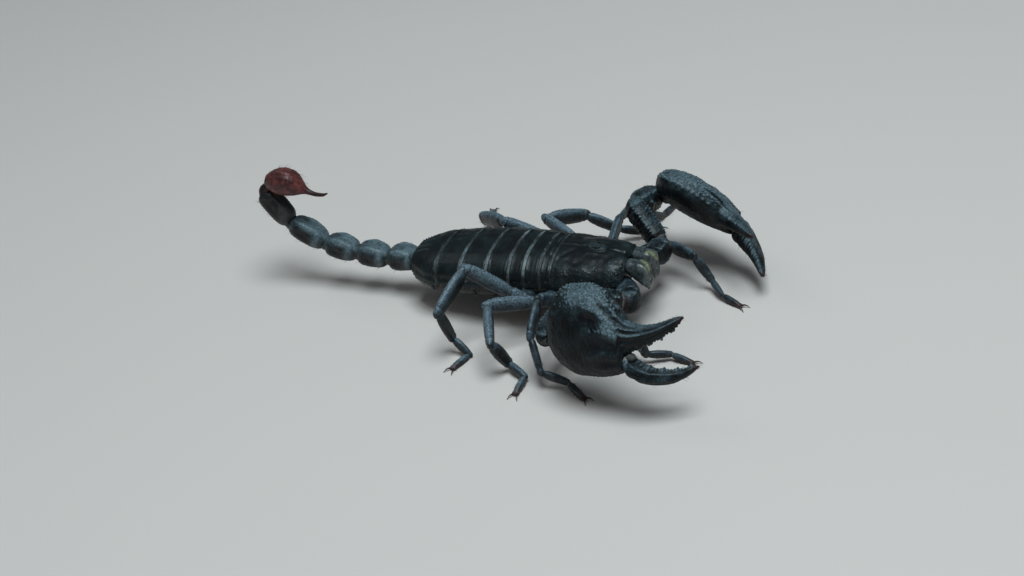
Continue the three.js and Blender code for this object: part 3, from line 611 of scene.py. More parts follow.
# How each material is painted; a word names one of the colours that a user may change.
FINISHES = {
    "shell_blue_black": (paint_shell, dict(dark="shell_dark", light="shell_light", crest="shell_crest", tint="tip_red",
                                           rough=(0.36, 0.54), coat=0.1)),
    "shell_pincer_arm": (paint_shell, dict(dark="shell_dark", light="arm_light", crest="arm_crest", tint="tip_red",
                                           grains=0.9, scale=2300.0, dents=0.8, bump=0.4, rough=(0.36, 0.54),
                                           coat=0.06, clouds=330.0, specular=0.22)),
    "shell_leg": (paint_shell, dict(dark="leg_dark", light="leg_light", crest="leg_crest", tint="tip_red",
                                    grains=0.35, scale=2800.0, bump=0.3, rough=(0.36, 0.52), clouds=420.0)),
    # On the tail rings the tint is a painted sheen.
    "shell_tail": (paint_shell, dict(dark="shell_dark", light="arm_light", crest="arm_crest", tint="saddle_pale",
                                     **TAIL_LOOK)),
    "shell_tail_end": (paint_shell, dict(dark="shell_dark", light="tail_brown", crest="tail_brown",
                                         tint="saddle_pale", **TAIL_LOOK)),
    "shell_belly": (paint_shell, dict(dark="belly_dark", light="belly_light", crest="shell_crest", tint="tip_red",
                                      grains=0.15, scale=1800.0, bump=0.2, coat=0.3)),
    "shell_sting": (paint_shell, dict(dark="sting_dark", light="sting_red", crest="sting_red",
                                      tint=(0.01, 0.004, 0.004, 1), grains=0.3, scale=1700.0, dents=0.7, bump=0.3,
                                      rough=(0.36, 0.5), coat=0.15, coat_rough=0.3, clouds=500.0)),
    "shell_jaw": (paint_shell, dict(dark="jaw_dark", light="jaw_light", crest="jaw_light", tint="jaw_pale",
                                    grains=0.3, scale=3600.0, bump=0.3, rough=(0.2, 0.34), coat=0.3, clouds=600.0)),
    "claw_horn": (paint_shell, dict(dark="claw_dark", light="tip_red", crest="tip_red", tint=(0.01, 0.006, 0.005, 1),
                                    grains=0.1, bump=0.1, rough=(0.15, 0.28), coat=0.6, clouds=900.0)),
    "comb_horn": (paint_shell, dict(dark="comb_deep", light="comb_tan", crest="comb_tan", tint="comb_deep",
                                    grains=0.25, scale=4200.0, bump=0.2, rough=(0.35, 0.5), coat=0.1, clouds=800.0)),
    "joint_skin": (paint_skin, dict(pale="skin_pale", deep="skin_deep", fold=1500.0)),
    "flank_skin": (paint_skin, dict(pale="flank_pale", deep="flank_deep", fold=900.0)),
    "eye_lens": (paint_eye, dict(amber="eye_amber")),
    "bristle": (paint_bristle, dict(dark="bristle_dark", red="bristle_red", pale="bristle_pale")),
    "floor_paint": (paint_floor, dict(colour="floor")),
}


def finish(name):
    """The material of this name, made the first time that a piece asks for it."""
    material = bpy.data.materials.get(name)
    if material:
        return material
    material = bpy.data.materials.new(name)
    material.use_nodes = True
    tree, colours = material.node_tree, bpy.context.scene.scorpion_colours
    paint, looks = FINISHES[name]
    looks = {key: (*getattr(colours, value), 1) if isinstance(value, str) else value for key, value in looks.items()}
    place = add_node(tree, "ShaderNodeTexCoord").outputs["Object"]
    feed(tree, tree.nodes["Principled BSDF"], paint(tree, place, **looks))
    return material


# ------------------------------------------------------------------ trunk
def trunk_outline(y):
    """Half width and crest height of the trunk at distances behind the carapace's rear edge."""
    y = np.asarray(y, float)
    ease = np.sin(np.pi / 2 * np.clip((y + CARAPACE_LENGTH) / CARAPACE_LENGTH, 0, 1))
    head_half = (CARAPACE_WIDTHS[0] + (CARAPACE_WIDTHS[1] - CARAPACE_WIDTHS[0]) * ease) / 2
    head_crest = CARAPACE_CRESTS[0] + (CARAPACE_CRESTS[1] - CARAPACE_CRESTS[0]) * ease ** 0.8
    edges = np.concatenate([[0], np.cumsum([t[0] for t in TERGITES])])
    widths = np.array([CARAPACE_WIDTHS[1]] + [t[1] for t in TERGITES])
    crests = np.array([CARAPACE_CRESTS[1]] + [t[2] for t in TERGITES])
    half, crest = np.interp(y, edges, widths) / 2, np.interp(y, edges, crests)
    end = 1 - np.cos(np.pi / 2 * np.clip((y - edges[-2]) / (edges[-1] - edges[-2]), 0, 1))
    half = np.where(y > edges[-2], (widths[-2] + (widths[-1] - widths[-2]) * end) / 2, half)
    crest = np.where(y > edges[-2], crests[-2] + (crests[-1] - crests[-2]) * end, crest)
    return np.where(y <= 0, head_half, half), np.where(y <= 0, head_crest, crest)


def arch(y, half, crest, seam, angles, fullness=2.5):
    """Points over an arched section; the arrays y, half and crest give one section each."""
    c, s = np.cos(angles)[None, :], np.sin(angles)[None, :]
    x = half[:, None] * signed_power(c, 2 / fullness)
    z = seam + (crest - seam)[:, None] * np.abs(s) ** (2 / fullness)
    return np.stack([x, np.broadcast_to(y[:, None], x.shape), z], axis=-1)


def arch_angles(count):
    """Angles over an arch, closer together near its sides where the section turns."""
    t = np.linspace(-1, 1, count)
    return np.pi / 2 * (1 - signed_power(t, 1.15))


def on_mound(x, y, half_width, half_length):
    """Squared distance from the middle of the eye mound, 1 on the ellipse with these halves."""
    return (x / half_width) ** 2 + ((y - TUBERCLE_Y) / half_length) ** 2


def carapace_relief(base):
    s = bpy.context.scene.scorpion_sizes
    x, y, z = base[..., 0], base[..., 1], base[..., 2]
    far = np.abs(x)
    half, _ = trunk_outline(y)
    front = fade(y, -10.6, -12.0)
    rear = fade(y, -6.6, -5.0)
    relief = -0.26 * hump(x, 0, 0.34) * np.maximum(front, rear)
    relief += 0.75 * np.sqrt(np.clip(1 - on_mound(x, y, MOUND_X, MOUND_Y), 0, 1))
    relief -= 0.13 * hump(np.sqrt(on_mound(x, y, MOUND_X, MOUND_Y)), 1.16, 0.16)
    relief -= 0.14 * hump(x, 0, 0.2) * hump(y, TUBERCLE_Y, 1.6)
    # Furrows that fan out from the middle line to the rear corners, and in arcs round the flanks.
    relief -= 0.15 * hump(far - 0.6 - 1.25 * np.abs(y + 4.6), 0, 1.0) * fade(y, -5.0, -4.2) * fade(y, -0.5, -1.4)
    relief -= 0.13 * hump(y + 9.2 - 0.62 * far, 0, 0.9) * fade(far, 1.9, 2.8) * fade(far, 7.2, 5.8)
    relief -= 0.1 * hump(y + 13.0 - 0.36 * far, 0, 0.8) * fade(far, 1.3, 2.2) * fade(far, 6.2, 5.0)
    relief += 0.26 * hump(far, half - 0.5, 0.5) * hump(z, SEAM_Z + 1.1, 1.3)
    relief += 0.06 * fade(y, -0.75, -0.3) - 0.07 * hump(y, -1.1, 0.25)
    relief += 0.12 * hump(y, -CARAPACE_LENGTH + 0.6, 0.4)
    rough_side = 0.62 * fade(far / half, 0.42, 0.82) + 0.4 * front * fade(far, 0.5, 1.5) + 0.14
    mound = np.clip(1 - on_mound(x, y, 1.7, 2.6), 0, 1)
    relief += s.granule_height * 1000 * rough_side * granules(base, 0.62, 3) * (1 - np.clip(mound * 3, 0, 1))
    relief += 0.14 * ripple(base, 2.4, 2.0) + 0.05 * ripple(base, 0.9, 5.0)
    relief += 0.3 * hump(far, 2.6, 1.2) * hump(y, -14.4, 1.5) + 0.25 * hump(far, 4.6, 1.4) * hump(y, -13.2, 1.8)
    relief += 0.16 * hump(far, 2.35, 0.4) * hump(y, TUBERCLE_Y - 0.3, 1.8)
    relief -= 0.35 * hump(far, 5.2, 1.6) * hump(y, -5.0, 2.4)
    return relief


def carapace_shape():
    t = np.concatenate([np.linspace(0, 0.1, 16)[:-1], np.linspace(0.1, 1, 96)])
    y = -CARAPACE_LENGTH + t * (CARAPACE_LENGTH - 0.12)
    half, crest = trunk_outline(y)
    front = np.clip(1 - t / 0.085, 0, 1) ** 1.6
    base = arch(y, half * (1 - 0.1 * front), crest - 0.9 * front, SEAM_Z + 0.15, arch_angles(170))
    across = np.abs(base[..., 0]) / half[:, None]
    edge = np.clip(1 - 8 * t, 0, 1)[:, None]
    base[..., 1] += CARAPACE_NOTCH * np.exp(-(across / 0.2) ** 2) * edge + 1.3 * across ** 4 * edge
    return plate(base, 0.42, carapace_relief, edge=0.34, inwards=np.array([0, -8, SEAM_Z]))


def tergite_shape(number):
    """One upper plate, tucked under the plate before it and ending in a rounded lip."""
    s = bpy.context.scene.scorpion_sizes
    start = sum(t[0] for t in TERGITES[:number - 1])
    length = TERGITES[number - 1][0]
    last = number == len(TERGITES)
    y = np.linspace(start + 0.02, start + length - (0.15 if last else s.plate_gap * 1000), int(length / 0.13) + 6)
    t = (y - start) / length
    half, crest = trunk_outline(y)
    tuck = 0.36 * np.clip(1 - t * length / 0.55, 0, 1) ** 1.4
    lift = 0.0 if last else 0.1
    base = arch(y, half - tuck, crest - tuck + lift * t, SEAM_Z + 0.35, arch_angles(150))

    def relief(points):
        x, along, z = points[..., 0], (points[..., 1] - start) / length, points[..., 2]
        far = np.abs(x)
        wide = np.interp(points[..., 1].ravel(), y, half).reshape(x.shape)
        end = length * (1 - along)
        from_front = along * length
        made = np.zeros(x.shape) if last else 0.1 * hump(end, 0.45, 0.4) - 0.08 * hump(end, 1.5, 0.6)
        made -= 0.04 * hump(from_front, min(1.05, 0.32 * length), 0.3)
        made += 0.14 * hump(x, 0, 0.55) * fade(along, 0.25, 0.5) * (0.4 if last else 1)
        made += 0.1 * hump(far, 0.52 * wide, 0.8) * fade(along, 0.3, 0.6)
        made += 0.15 * hump(z, SEAM_Z + 0.9, 0.5) - 0.12 * hump(z, SEAM_Z + 2.0, 0.5)
        rough = 0.25 + 0.75 * fade(along, 0.45, 0.9) + 0.6 * fade(far / wide, 0.6, 0.9)
        made += 0.42 * s.granule_height * 1000 * rough * granules(points, 0.5, 11 + number, 0.7)
        made += 0.06 * ripple(points, 1.8, number) + 0.02 * ripple(points, 0.8, number + 3)
        if last:
            for place, pitch in ((1.5, 0.62), (3.3, 0.7)):
                line = hump(far - place * (1 - 0.28 * along), 0, 0.3) * fade(along, 0.3, 0.5) * fade(along, 0.97, 0.88)
                made += 0.42 * line * beads(points[..., 1], pitch)
        return made

    return plate(base, 0.34, relief, edge=0.3, inwards=np.array([0, start + length / 2, SEAM_Z]))


def belly_low(y):
    """Height of the belly's lowest line: level, then rising to the tail."""
    return BELLY_Z + 1.5 * np.clip((y - 27) / 9.2, 0, 1) ** 2


def sternite_shape(number):
    """One belly plate with a pair of breathing slits and a smooth rear lip."""
    start, end = STERNITE_EDGES[number - 1], STERNITE_EDGES[number]
    last = number == 5
    y = np.linspace(start + 0.05, end - (0.2 if last else 0.34), int((end - start) / 0.16))
    half, _ = trunk_outline(y)
    t = (y - start) / (end - start)
    tuck = 0.34 * np.clip(1 - t * (end - start) / 0.6, 0, 1) ** 1.4
    base = arch(y, half * 0.93 - tuck, belly_low(y) + tuck, SEAM_Z - 0.35, arch_angles(120), 3.0)

    def relief(points):
        x, along = np.abs(points[..., 0]), (points[..., 1] - start) / (end - start)
        rest = (end - start) * (1 - along)
        made = 0.1 * hump(rest, 0.6, 0.32) + 0.02 * ripple(points, 1.5, number + 4)
        if not last:
            slit = ((x - 5.6) * 0.85 + (along - 0.55) * 1.2) / 0.95
            cut = ((along - 0.55) * (end - start) - (x - 5.6) * 0.35) / 0.2
            made += 0.16 * np.exp(-slit ** 4 - (cut / 2.1) ** 2) - 0.42 * np.exp(-slit ** 4 - cut ** 2)
            made -= 0.1 * hump(x, 2.9, 0.35) * fade(along, 0.1, 0.35) * fade(along, 0.95, 0.7)
        else:
            made += 0.3 * hump(x, 1.1, 0.26) * beads(points[..., 1], 0.7) * fade(along, 0.2, 0.5)
        return made

    return plate(base, 0.3, relief, edge=0.26, inwards=np.array([0, (start + end) / 2, SEAM_Z]))


def trunk_skin_shape():
    """The soft skin under the plates: it shows as pale lines between them and as folds along the flanks."""
    y = np.linspace(-15.2, 36.6, 400)
    half, crest = trunk_outline(y)
    inset = 0.08 + 0.8 * fade(y, -0.1, -0.6)
    top = arch(y, half - 0.04 - inset, crest - inset, SEAM_Z, np.linspace(0, np.pi, 70))
    low = belly_low(y) + np.where(y < 9, 0.75, 0.26)
    under = arch(y, half * np.where(y < 8.6, 0.86, 0.93) - 0.3, low, SEAM_Z, np.linspace(np.pi, 0, 70)[1:-1], 3.0)
    rings = np.concatenate([top, under], axis=1)
    side = hump(rings[..., 2], SEAM_Z, 0.55)
    fold = 0.5 + 0.5 * np.sin(rings[..., 1] * 2 * np.pi / 0.85 + 1.1 * np.sin(rings[..., 1] * 1.1))
    out = np.sign(rings[..., 0]) * side * (0.2 + 0.14 * fold) * fade(rings[..., 1], 0.0, 3.0)
    rings[..., 0] += out
    closing = np.minimum(1, np.sqrt(np.clip(np.minimum(y - y[0], y[-1] - y) / 0.8, 0.02, 1)))
    middle = 6.6
    rings[..., 0] *= closing[:, None]
    rings[..., 2] = middle + (rings[..., 2] - middle) * closing[:, None]
    deep = fade(np.abs(rings[..., 2] - SEAM_Z), 1.6, 0.7) * (1 - fold * 0.25)
    above = np.clip((rings[..., 2] - SEAM_Z) / (crest[:, None] - SEAM_Z), 0, 1)
    patchy = 0.5 + 0.5 * np.sin(rings[..., 1] * 0.9 + 1.6 * np.sin(rings[..., 0] * 0.42))
    # Painted shade darkens the skin low on the flanks; it is also darker along the crest, towards both ends and in
    # random patches.
    painted_light = fade(above, 0.62, 0.34) + 0.6 * fade(above, 0.93, 1.0) + 0.35 * patchy
    painted_light += 0.55 * (fade(rings[..., 1], 4.5, 3.0) + fade(rings[..., 1], 26.5, 27.5))
    deep = np.clip(np.maximum(deep, painted_light), 0, 1)
    normals = grid_normals(rings, True)
    facing = np.sign(np.sum(normals * (rings - rings.mean(axis=1, keepdims=True))))
    return close_tube(tip_trunk(rings), {"raised": np.zeros(deep.shape), "tint": deep}, facing)


def hip_point(side, number):
    x, y, z = LEGS[number - 1][0]
    return np.array([side * x, y, z])


def coxa_shapes():
    """The leg bases side by side under the prosoma, with the breastplate and the lid between them."""
    shapes = []
    for side in (LEFT, RIGHT):
        ends = [hip_point(side, k) for k in (1, 2, 3, 4)] + [np.array([side * ARM_ROOT[0], *ARM_ROOT[1:]])]
        sizes = [(3.3, 3.4)] * 4 + [(4.9, 4.7)]
        for k, (root, end, (wide, high)) in enumerate(zip((*COXA_ROOTS, (2.3, -13.4, 4.6)), ends, sizes)):
            root = np.array([side * root[0], root[1], root[2]])
            length = float(np.linalg.norm(end - root))
            ahead = (end - root) / length
            level = unit(np.cross([0.0, 0.0, 1.0], ahead))
            stout = LEGS[k][2] if k < 4 else 1.0
            rows = sized(wide, high, (0, 0.62, 0.6), (0.25 * length, 0.98 * stout, 0.86),
                         (0.62 * length, 1.06 * stout, 0.97), (length - 0.5, stout, 0.98 * stout),
                         (length + 0.15, 0.9 * stout, 0.88 * stout))

            def relief(x, a, points, length=length, k=k):
                made = 0.12 * keels(a, 12, -60, -125) * fade(x, 0.5, 2.0) * beads(x, 0.7, 0.4)
                made += 0.09 * hump(x, length - 0.35, 0.3) - 0.1 * hump(x, length - 1.1, 0.25)
                return made + 0.06 * granules(points, 0.5, 40 + k, 0.6) + 0.03 * ripple(points, 1.2, k)

            shapes.append(tube((root, ahead, level, np.cross(ahead, level)), rows, 2.6, 44, 0.16, relief,
                               tips=(0.8, 0.5), place=tip_trunk))
    shapes.append(tube(trunk_axes((0, -3.4, 3.35)),
                       [(0, 0.8, 1.6), (1.2, 2.0, 2.1), (4.2, 3.4, 2.2), (4.9, 3.0, 2.1)], 3.2, 36, 0.16,
                       lambda x, a, p: -0.2 * keel(a, -90, 16) * fade(x, 1.5, 3.2) + 0.02 * ripple(p, 1.0, 3),
                       place=tip_trunk))
    for side in (LEFT, RIGHT):
        shapes.append(blob((side * 1.25, 3.6, 3.2), (3.0, 2.6, 2.0), sides=32, place=tip_trunk, power=2.4))
    shapes.append(blob((0, 6.1, 3.2), (2.6, 5.4, 2.0), sides=36, place=tip_trunk, power=2.8))
    rows = [(0, 9.0, 2.6), (3.0, 13.0, 3.2), (10, 15.6, 3.3), (18, 16.6, 3.4), (21.7, 15.6, 3.2)]
    shapes.append(tube(trunk_axes((0, -13.2, 4.2)), rows, 3.4, 60, 0.4, lambda x, a, p: 0.03 * ripple(p, 1.3, 8),
                       tips=(0.6, 0.4), place=tip_trunk))
    return shapes


def pectine_shapes(side):
    """A comb: a jointed bar with small knobs along its rear edge and a row of flat teeth."""
    axes = limb_axes(side, (118, 0), (side * 1.5, 6.0, BELLY_Z - 0.6))
    origin, ahead, level, up = axes
    rows = [(0, 0.9, 0.7), (1.2, 1.3, 0.8), (4.6, 1.25, 0.75), (8.0, 0.8, 0.6), (9.4, 0.5, 0.45)]
    shapes = [tube(axes, rows, 2.6, 24, 0.15, lambda x, a, p: (-0.12 * (hump(x, 3.1, 0.14) + hump(x, 6.2, 0.14))
                                                               + 0.03 * granules(p, 0.35, 60, 0.6)),
                   tips=(0.4, 0.35), place=tip_trunk)]
    rear = level if level[1] > 0 else -level
    lean = rear * math.cos(0.25) + ahead * math.sin(0.25)
    count = bpy.context.scene.scorpion_sizes.comb_teeth
    for k in range(count):
        root = origin + ahead * (0.9 + 8.3 * k / (count - 1)) + rear * (0.55 - 0.25 * k / count)
        shapes.append(blob(root - ahead * 0.25, (0.5, 0.42, 0.5), (root, rear, ahead, up), 12, place=tip_trunk))
        long = 2.0 * (0.75 + 0.25 * math.sin(math.pi * (k + 1) / (count + 1)))
        rows = [(0, 0.3, 0.3), (0.5 * long, 0.44, 0.4), (0.85 * long, 0.46, 0.36), (long, 0.3, 0.26)]
        shapes.append(tube((root, lean, np.cross(up, lean), up), rows, 2.2, 12, 0.16, tips=(0.1, 0.12), dome=3,
                           place=tip_trunk))
    return shapes


# ------------------------------------------------------------------ head
def median_eye_shapes():
    """The pair of middle eyes on the sides of their mound and three small eyes near each front corner."""
    shapes, rims = [], []
    radius = bpy.context.scene.scorpion_sizes.eye_radius * 1000
    crest = float(trunk_outline(np.array([TUBERCLE_Y]))[1][0])
    for side in (LEFT, RIGHT):
        shapes.append(blob((side * 0.78, TUBERCLE_Y - 0.1, crest + 0.12), (radius * 2,) * 3, sides=28,
                           place=tip_trunk))
        for k in range(3):
            y = -14.55 + 0.95 * k
            half, top = (float(v[0]) for v in trunk_outline(np.array([y])))
            x = half * (0.865 + 0.012 * k)
            z = SEAM_Z + (top - SEAM_Z) * (1 - (x / half) ** 2.5) ** (1 / 2.5)
            small = radius * (0.62 - 0.06 * k)
            shapes.append(blob((side * x, y, z - 0.02), (small * 2,) * 3, sides=18, place=tip_trunk))
            rims.append(blob((side * (x - 0.08), y + 0.05, z - 0.16), (small * 3, small * 3, small * 2.2),
                             place=tip_trunk))
        arc = [(side * max(0.78 + 0.34 * math.cos(t), 0.42), TUBERCLE_Y - 0.1 + 0.78 * math.sin(t),
                crest + 0.42 + 0.24 * math.cos(t * 0.5), 0.26, 0.22) for t in np.linspace(2.2, -2.2, 9)]
        rims.append(sweep(arc, 12, 26, place=tip_trunk, relief=lambda q, a, p: 0.03 * ripple(p, 0.4, 2)))
    return shapes, rims


def chelicera_shapes(side):
    """A jaw: a swollen hand and two curved, toothed fingers that close over each other."""
    origin, ahead, level, up = limb_axes(side, (-3, -24), (side * 2.35, -CARAPACE_LENGTH - 0.8, 8.6))
    outer = level if level[0] * side > 0 else -level

    def hand_relief(x, a, points):
        made = 0.06 * granules(points, 0.45, 71, 0.6) * fade(x, 2.2, 0.6) + 0.08 * ripple(points, 1.5, 4)
        made += 0.12 * keel(a, 62, 14) * fade(x, 0.6, 1.8) + 0.1 * keel(a, 118, 14) * fade(x, 0.6, 1.8)
        made += 0.14 * hump(x, 2.75, 0.26) * fade(np.sin(a), 0.0, 0.6) - 0.12 * keel(a, 90, 16) * fade(x, 1.6, 2.6)
        return made + 0.03 * ripple(points, 0.9, 5)

    def streak(x, a, points):
        main = keel(a, 112 - 8 * x, 11) * fade(x, 0.6, 1.3) * fade(x, 4.0, 3.4)
        second = keel(a, 72 - 6 * x, 5.5) * fade(x, 1.2, 1.9) * fade(x, 3.6, 3.0) * 0.7
        return np.clip(main + second, 0, 1)

    rows = [(-1.5, 2.9, 2.9), (0, 3.7, 3.7), (0.9, 4.2, 4.4, 0, -0.05), (2.0, 4.35, 4.6, 0, -0.2),
            (2.9, 4.15, 4.35, 0, -0.5), (3.5, 3.5, 3.8, 0, -0.9), (3.9, 2.6, 2.9, 0, -1.25)]
    hand = tube((origin, ahead, outer, up), rows, 2.4, 60, 0.09, hand_relief, place=tip_trunk, tint=streak)

    def finger(teeth, *rows):
        def bite(s, a, points):
            return 0.26 * keel(a, 90, 30) * beads(s, teeth, 1.0) ** 2 * fade(s, 0.12, 0.3) * fade(s, 0.92, 0.8)

        path = [(*(origin + ahead * x + outer * y + up * z), w, h) for x, y, z, w, h in rows]
        return sweep(path, 24, 60, 2.2, bite, upright=outer, place=tip_trunk)

    return hand, [
        finger(0.2, (2.6, -0.75, -1.0, 2.0, 2.3), (3.5, -0.8, -1.5, 1.7, 1.9), (4.15, -0.72, -2.1, 1.25, 1.35),
               (4.45, -0.6, -2.8, 0.8, 0.85), (4.45, -0.45, -3.4, 0.42, 0.45), (4.25, -0.35, -3.8, 0.1, 0.1)),
        finger(0.22, (2.4, 1.0, -1.1, 2.0, 2.4), (3.3, 1.1, -1.6, 1.8, 2.0), (4.1, 0.85, -2.2, 1.3, 1.4),
               (4.55, 0.4, -2.9, 0.85, 0.9), (4.55, 0.08, -3.5, 0.45, 0.45), (4.35, -0.08, -3.95, 0.1, 0.1)),
        finger(0.3, (3.0, 0.9, -1.8, 1.0, 1.2), (3.6, 0.75, -2.4, 0.8, 0.9), (3.95, 0.45, -3.0, 0.5, 0.5),
               (3.9, 0.2, -3.5, 0.1, 0.1))]


# ------------------------------------------------------------------ limbs
def limb_joints(side, origin, lengths, angles):
    joints = [np.asarray(origin, float)]
    for length, angle in zip(lengths, angles):
        joints.append(joints[-1] + direction(side, *angle) * length)
    return joints


def leg_layout(side, number):
    """Joints and angles of a leg's five segments; the last lift brings the foot down to the floor."""
    _, lengths, stout = LEGS[number - 1]
    pose = LEG_POSE[side][number - 1]
    start = tip_trunk(hip_point(side, number))
    drop = start[2] + sum(length * math.sin(math.radians(a[1])) for length, a in zip(lengths[:4], pose[:4]))
    lift = math.degrees(math.asin((FOOT_REST - drop) / lengths[4]))
    angles = list(pose[:4]) + [(pose[4], lift)]
    return limb_joints(side, start, lengths, angles), angles, lengths, stout


def collar(axes, wide, high, at, long):
    """A soft ring where one segment comes out of another."""
    rows = sized(wide, high, (at - long, 0.9, 0.9), (at - long * 0.3, 1, 1), (at + long * 0.3, 1, 1),
                 (at + long, 0.88, 0.88))
    return tube(axes, rows, 2.1, 28, 0.08, wrinkles(0.03, 0.22), tips=(0.05, 0.05), dome=2, tint=even(0.7))


def segment_rows(length, wide, high, neck, knob, waist):
    """A segment: a neck that comes out of the joint before it, a swelling, and a knob that holds the next."""
    return sized(wide, high, (0, neck * 0.9, neck * 0.88), (0.24 * high, neck, neck),
                 (0.24 * high + 0.12 * length, 0.94, 0.9), (0.45 * length, 1, waist), (0.82 * length, 0.96, 0.94),
                 (length - 0.22 * high, knob, knob), (length, knob * 0.9, knob * 0.92))


def leg_relief(length, places, height, pitch, seed):
    """Beaded keels along a leg segment with flat sides, a rim before the next joint and sparse grains."""
    def relief(x, a, points):
        ends = fade(x, 0.1 * length, 0.25 * length) * fade(x, length, 0.9 * length)
        rim = 0.09 * hump(x, length - 0.35, 0.22) - 0.08 * hump(x, length - 0.95, 0.2)
        flat = -0.08 * keels(a, 30, 0, 180) * ends
        return (height * keels(a, 13, *places) * beads(x, pitch, 0.55) * ends + rim + flat
                + 0.045 * granules(points, 0.42, seed, 0.5) * ends + 0.02 * ripple(points, 0.9, seed))
    return relief


def on_floor(points):
    """Flattens what would pass into the floor, so that the foot stands on it."""
    points = points.copy()
    points[..., 2] = np.maximum(points[..., 2], SOLE_CLEARANCE)
    return points


def claw_shapes(axes, foot, wide, high):
    """The two hooked claws of a foot, the small one between them, and the spurs along its sole."""
    origin, ahead, level, up = axes
    end = origin + ahead * (foot - 0.05)
    flat = unit(np.array([ahead[0], ahead[1], 0.0]))
    claws = []
    for turn, long, thick in ((-0.42, 1.9, 0.42), (0.42, 1.9, 0.42), (0.0, 0.55, 0.24)):
        c, s = math.cos(turn), math.sin(turn)
        out = np.array([c * flat[0] - s * flat[1], s * flat[0] + c * flat[1], 0.0])
        aside = 0.28 * wide * np.sign(turn) * np.sign(np.dot(level, out) * turn or 1)
        root = end + level * aside
        path = []
        for t, rise in ((-0.25, 0.0), (0.1, 0.1), (0.4, 0.16), (0.7, 0.06), (0.9, -0.12), (1.0, -0.26)):
            spot = root + out * (t * long)
            spot[2] = max(root[2] + rise * long * 0.9, 0.07)
            taper = max(1 - t, 0.12) ** 0.6
            path.append((*spot, thick * taper, thick * 1.15 * taper))
        claws.append(sweep(path, 12, 22, place=on_floor, tint=lambda q, a, p: fade(q, 0.7, 1.0)))
    for turn in (-1, 1):
        for k in range(4):
            root = origin + ahead * foot * (0.34 + 0.16 * k) + level * turn * wide * 0.34 - up * high * 0.36
            tip = root + (ahead * 0.28 + level * turn * 0.2 - up * 0.3)
            tip[2] = max(tip[2], 0.03)
            middle = root * 0.5 + tip * 0.5
            claws.append(sweep([(*root, 0.2, 0.2), (*middle, 0.15, 0.15), (*tip, 0.03, 0.03)], 8, 6,
                               place=on_floor, upright=ahead + 0.1))
    return claws


def leg_shapes(side, number):
    """The shapes of one leg: femur, patella, tibia, tarsus, claws, and the soft rings at its joints."""
    joints, angles, lengths, stout = leg_layout(side, number)
    axes = [limb_axes(side, angle, joint) for angle, joint in zip(angles, joints)]
    section = {key: np.array(value) * stout for key, value in LEG_SECTION.items()}
    slim = SLIM_SHIN.get((side, number), 1)
    seed = number * 10 + (side > 0)
    made = {}

    wide, high = section["femur"]
    length = lengths[0]
    rows = sized(wide, high, (-0.2, 0.9, 0.76), (0.1 * length, 1.08, 0.92), (0.16 * length, 1.1, 0.93),
                 (0.22 * length, 0.86, 0.7), (0.32 * length, 1, 0.9), (0.6 * length, 1, 1),
                 (0.86 * length, 0.98, 0.93), (length - 0.4, 0.88, 0.8), (length, 0.78, 0.7))
    relief = leg_relief(length, ((68, 0.9), 112, -75, (-105, 0.8)), 0.16, 0.5, seed)
    made["femur"] = tube(axes[0], rows, 2.3, 44, 0.13, relief, tips=(0.5, 0.42 * high))
    soft = [collar(axes[0], wide * 0.96, high * 0.78, 0.215 * length, 0.28)]

    wide, high = section["patella"] * slim
    length = lengths[1]
    relief = leg_relief(length, (90, (-70, 0.8), (-110, 0.8), (25, 0.5), (155, 0.5)), 0.15, 0.55, seed)
    made["patella"] = tube(axes[1], segment_rows(length, wide, high, 0.62, 0.84, 1.05), 2.2, 44, 0.13, relief,
                           tips=(0.4, 0.4 * high))
    soft.append(collar(axes[1], wide * 0.68, high * 0.68, 0.3 * high, 0.24))

    wide, high = section["tibia"] * slim ** 0.6
    length = lengths[2]
    relief = leg_relief(length, ((90, 0.7), (-90, 0.8)), 0.1, 0.6, seed)
    made["tibia"] = tube(axes[2], segment_rows(length, wide, high, 0.64, 0.86, 1.04), 2.2, 40, 0.12, relief,
                         tips=(0.4, 0.36 * high))
    soft.append(collar(axes[2], wide * 0.7, high * 0.7, 0.32 * high, 0.22))

    wide, high = section["basitarsus"]
    base = tube(axes[3], segment_rows(lengths[3], wide, high, 0.66, 0.86, 1.02), 2.2, 36, 0.11,
                lambda x, a, p: 0.06 * keel(a, -90, 16) * beads(x, 0.5) + 0.03 * granules(p, 0.34, seed, 0.5),
                tips=(0.3, 0.34 * high))
    soft.append(collar(axes[3], wide * 0.72, high * 0.72, 0.34 * high, 0.18))

    wide, high = section["telotarsus"]
    foot = lengths[4]

    def sole_relief(x, a, points):
        return (0.1 * keels(a, 14, -60, -120) * beads(x, 0.55, 0.9) * fade(x, 0.2 * foot, 0.4 * foot)
                + 0.08 * hump(x, foot - 0.3, 0.25))

    rows = sized(wide, high, (0, 0.62, 0.62), (0.3 * high, 0.7, 0.7), (0.22 * foot + 0.3, 0.98, 1),
                 (0.62 * foot, 1.04, 1.02), (0.84 * foot, 0.95, 0.82), (foot - 0.25, 0.98, 0.6), (foot, 0.8, 0.45))
    sole = tube(axes[4], rows, 2.2, 36, 0.1, sole_relief, tips=(0.3, 0.25), place=on_floor,
                tint=lambda x, a, p: 0.75 * fade(x, 0.55 * foot, foot))
    soft.append(collar(axes[4], wide * 0.8, high * 0.8, 0.4 * high, 0.14))
    made["tarsus"] = [base, sole]
    made["claws"] = claw_shapes(axes[4], foot, wide, high)
    return made, soft


def chela_axes(side, origin):
    """Axes of a pincer: X along it, Y towards the moving finger's edge, Z out of its upper face."""
    along = direction(side, *ARM_POSE[side]["chela"])
    outwards = unit(np.array([side, 0.0, 0.0]) - side * along[0] * along)
    upwards = np.cross(along, outwards) * side
    tilt = math.radians(ARM_POSE[side]["tilt"])
    edge = outwards * math.cos(tilt) - upwards * math.sin(tilt)
    return np.asarray(origin, float), along, edge, np.cross(along, edge) * side


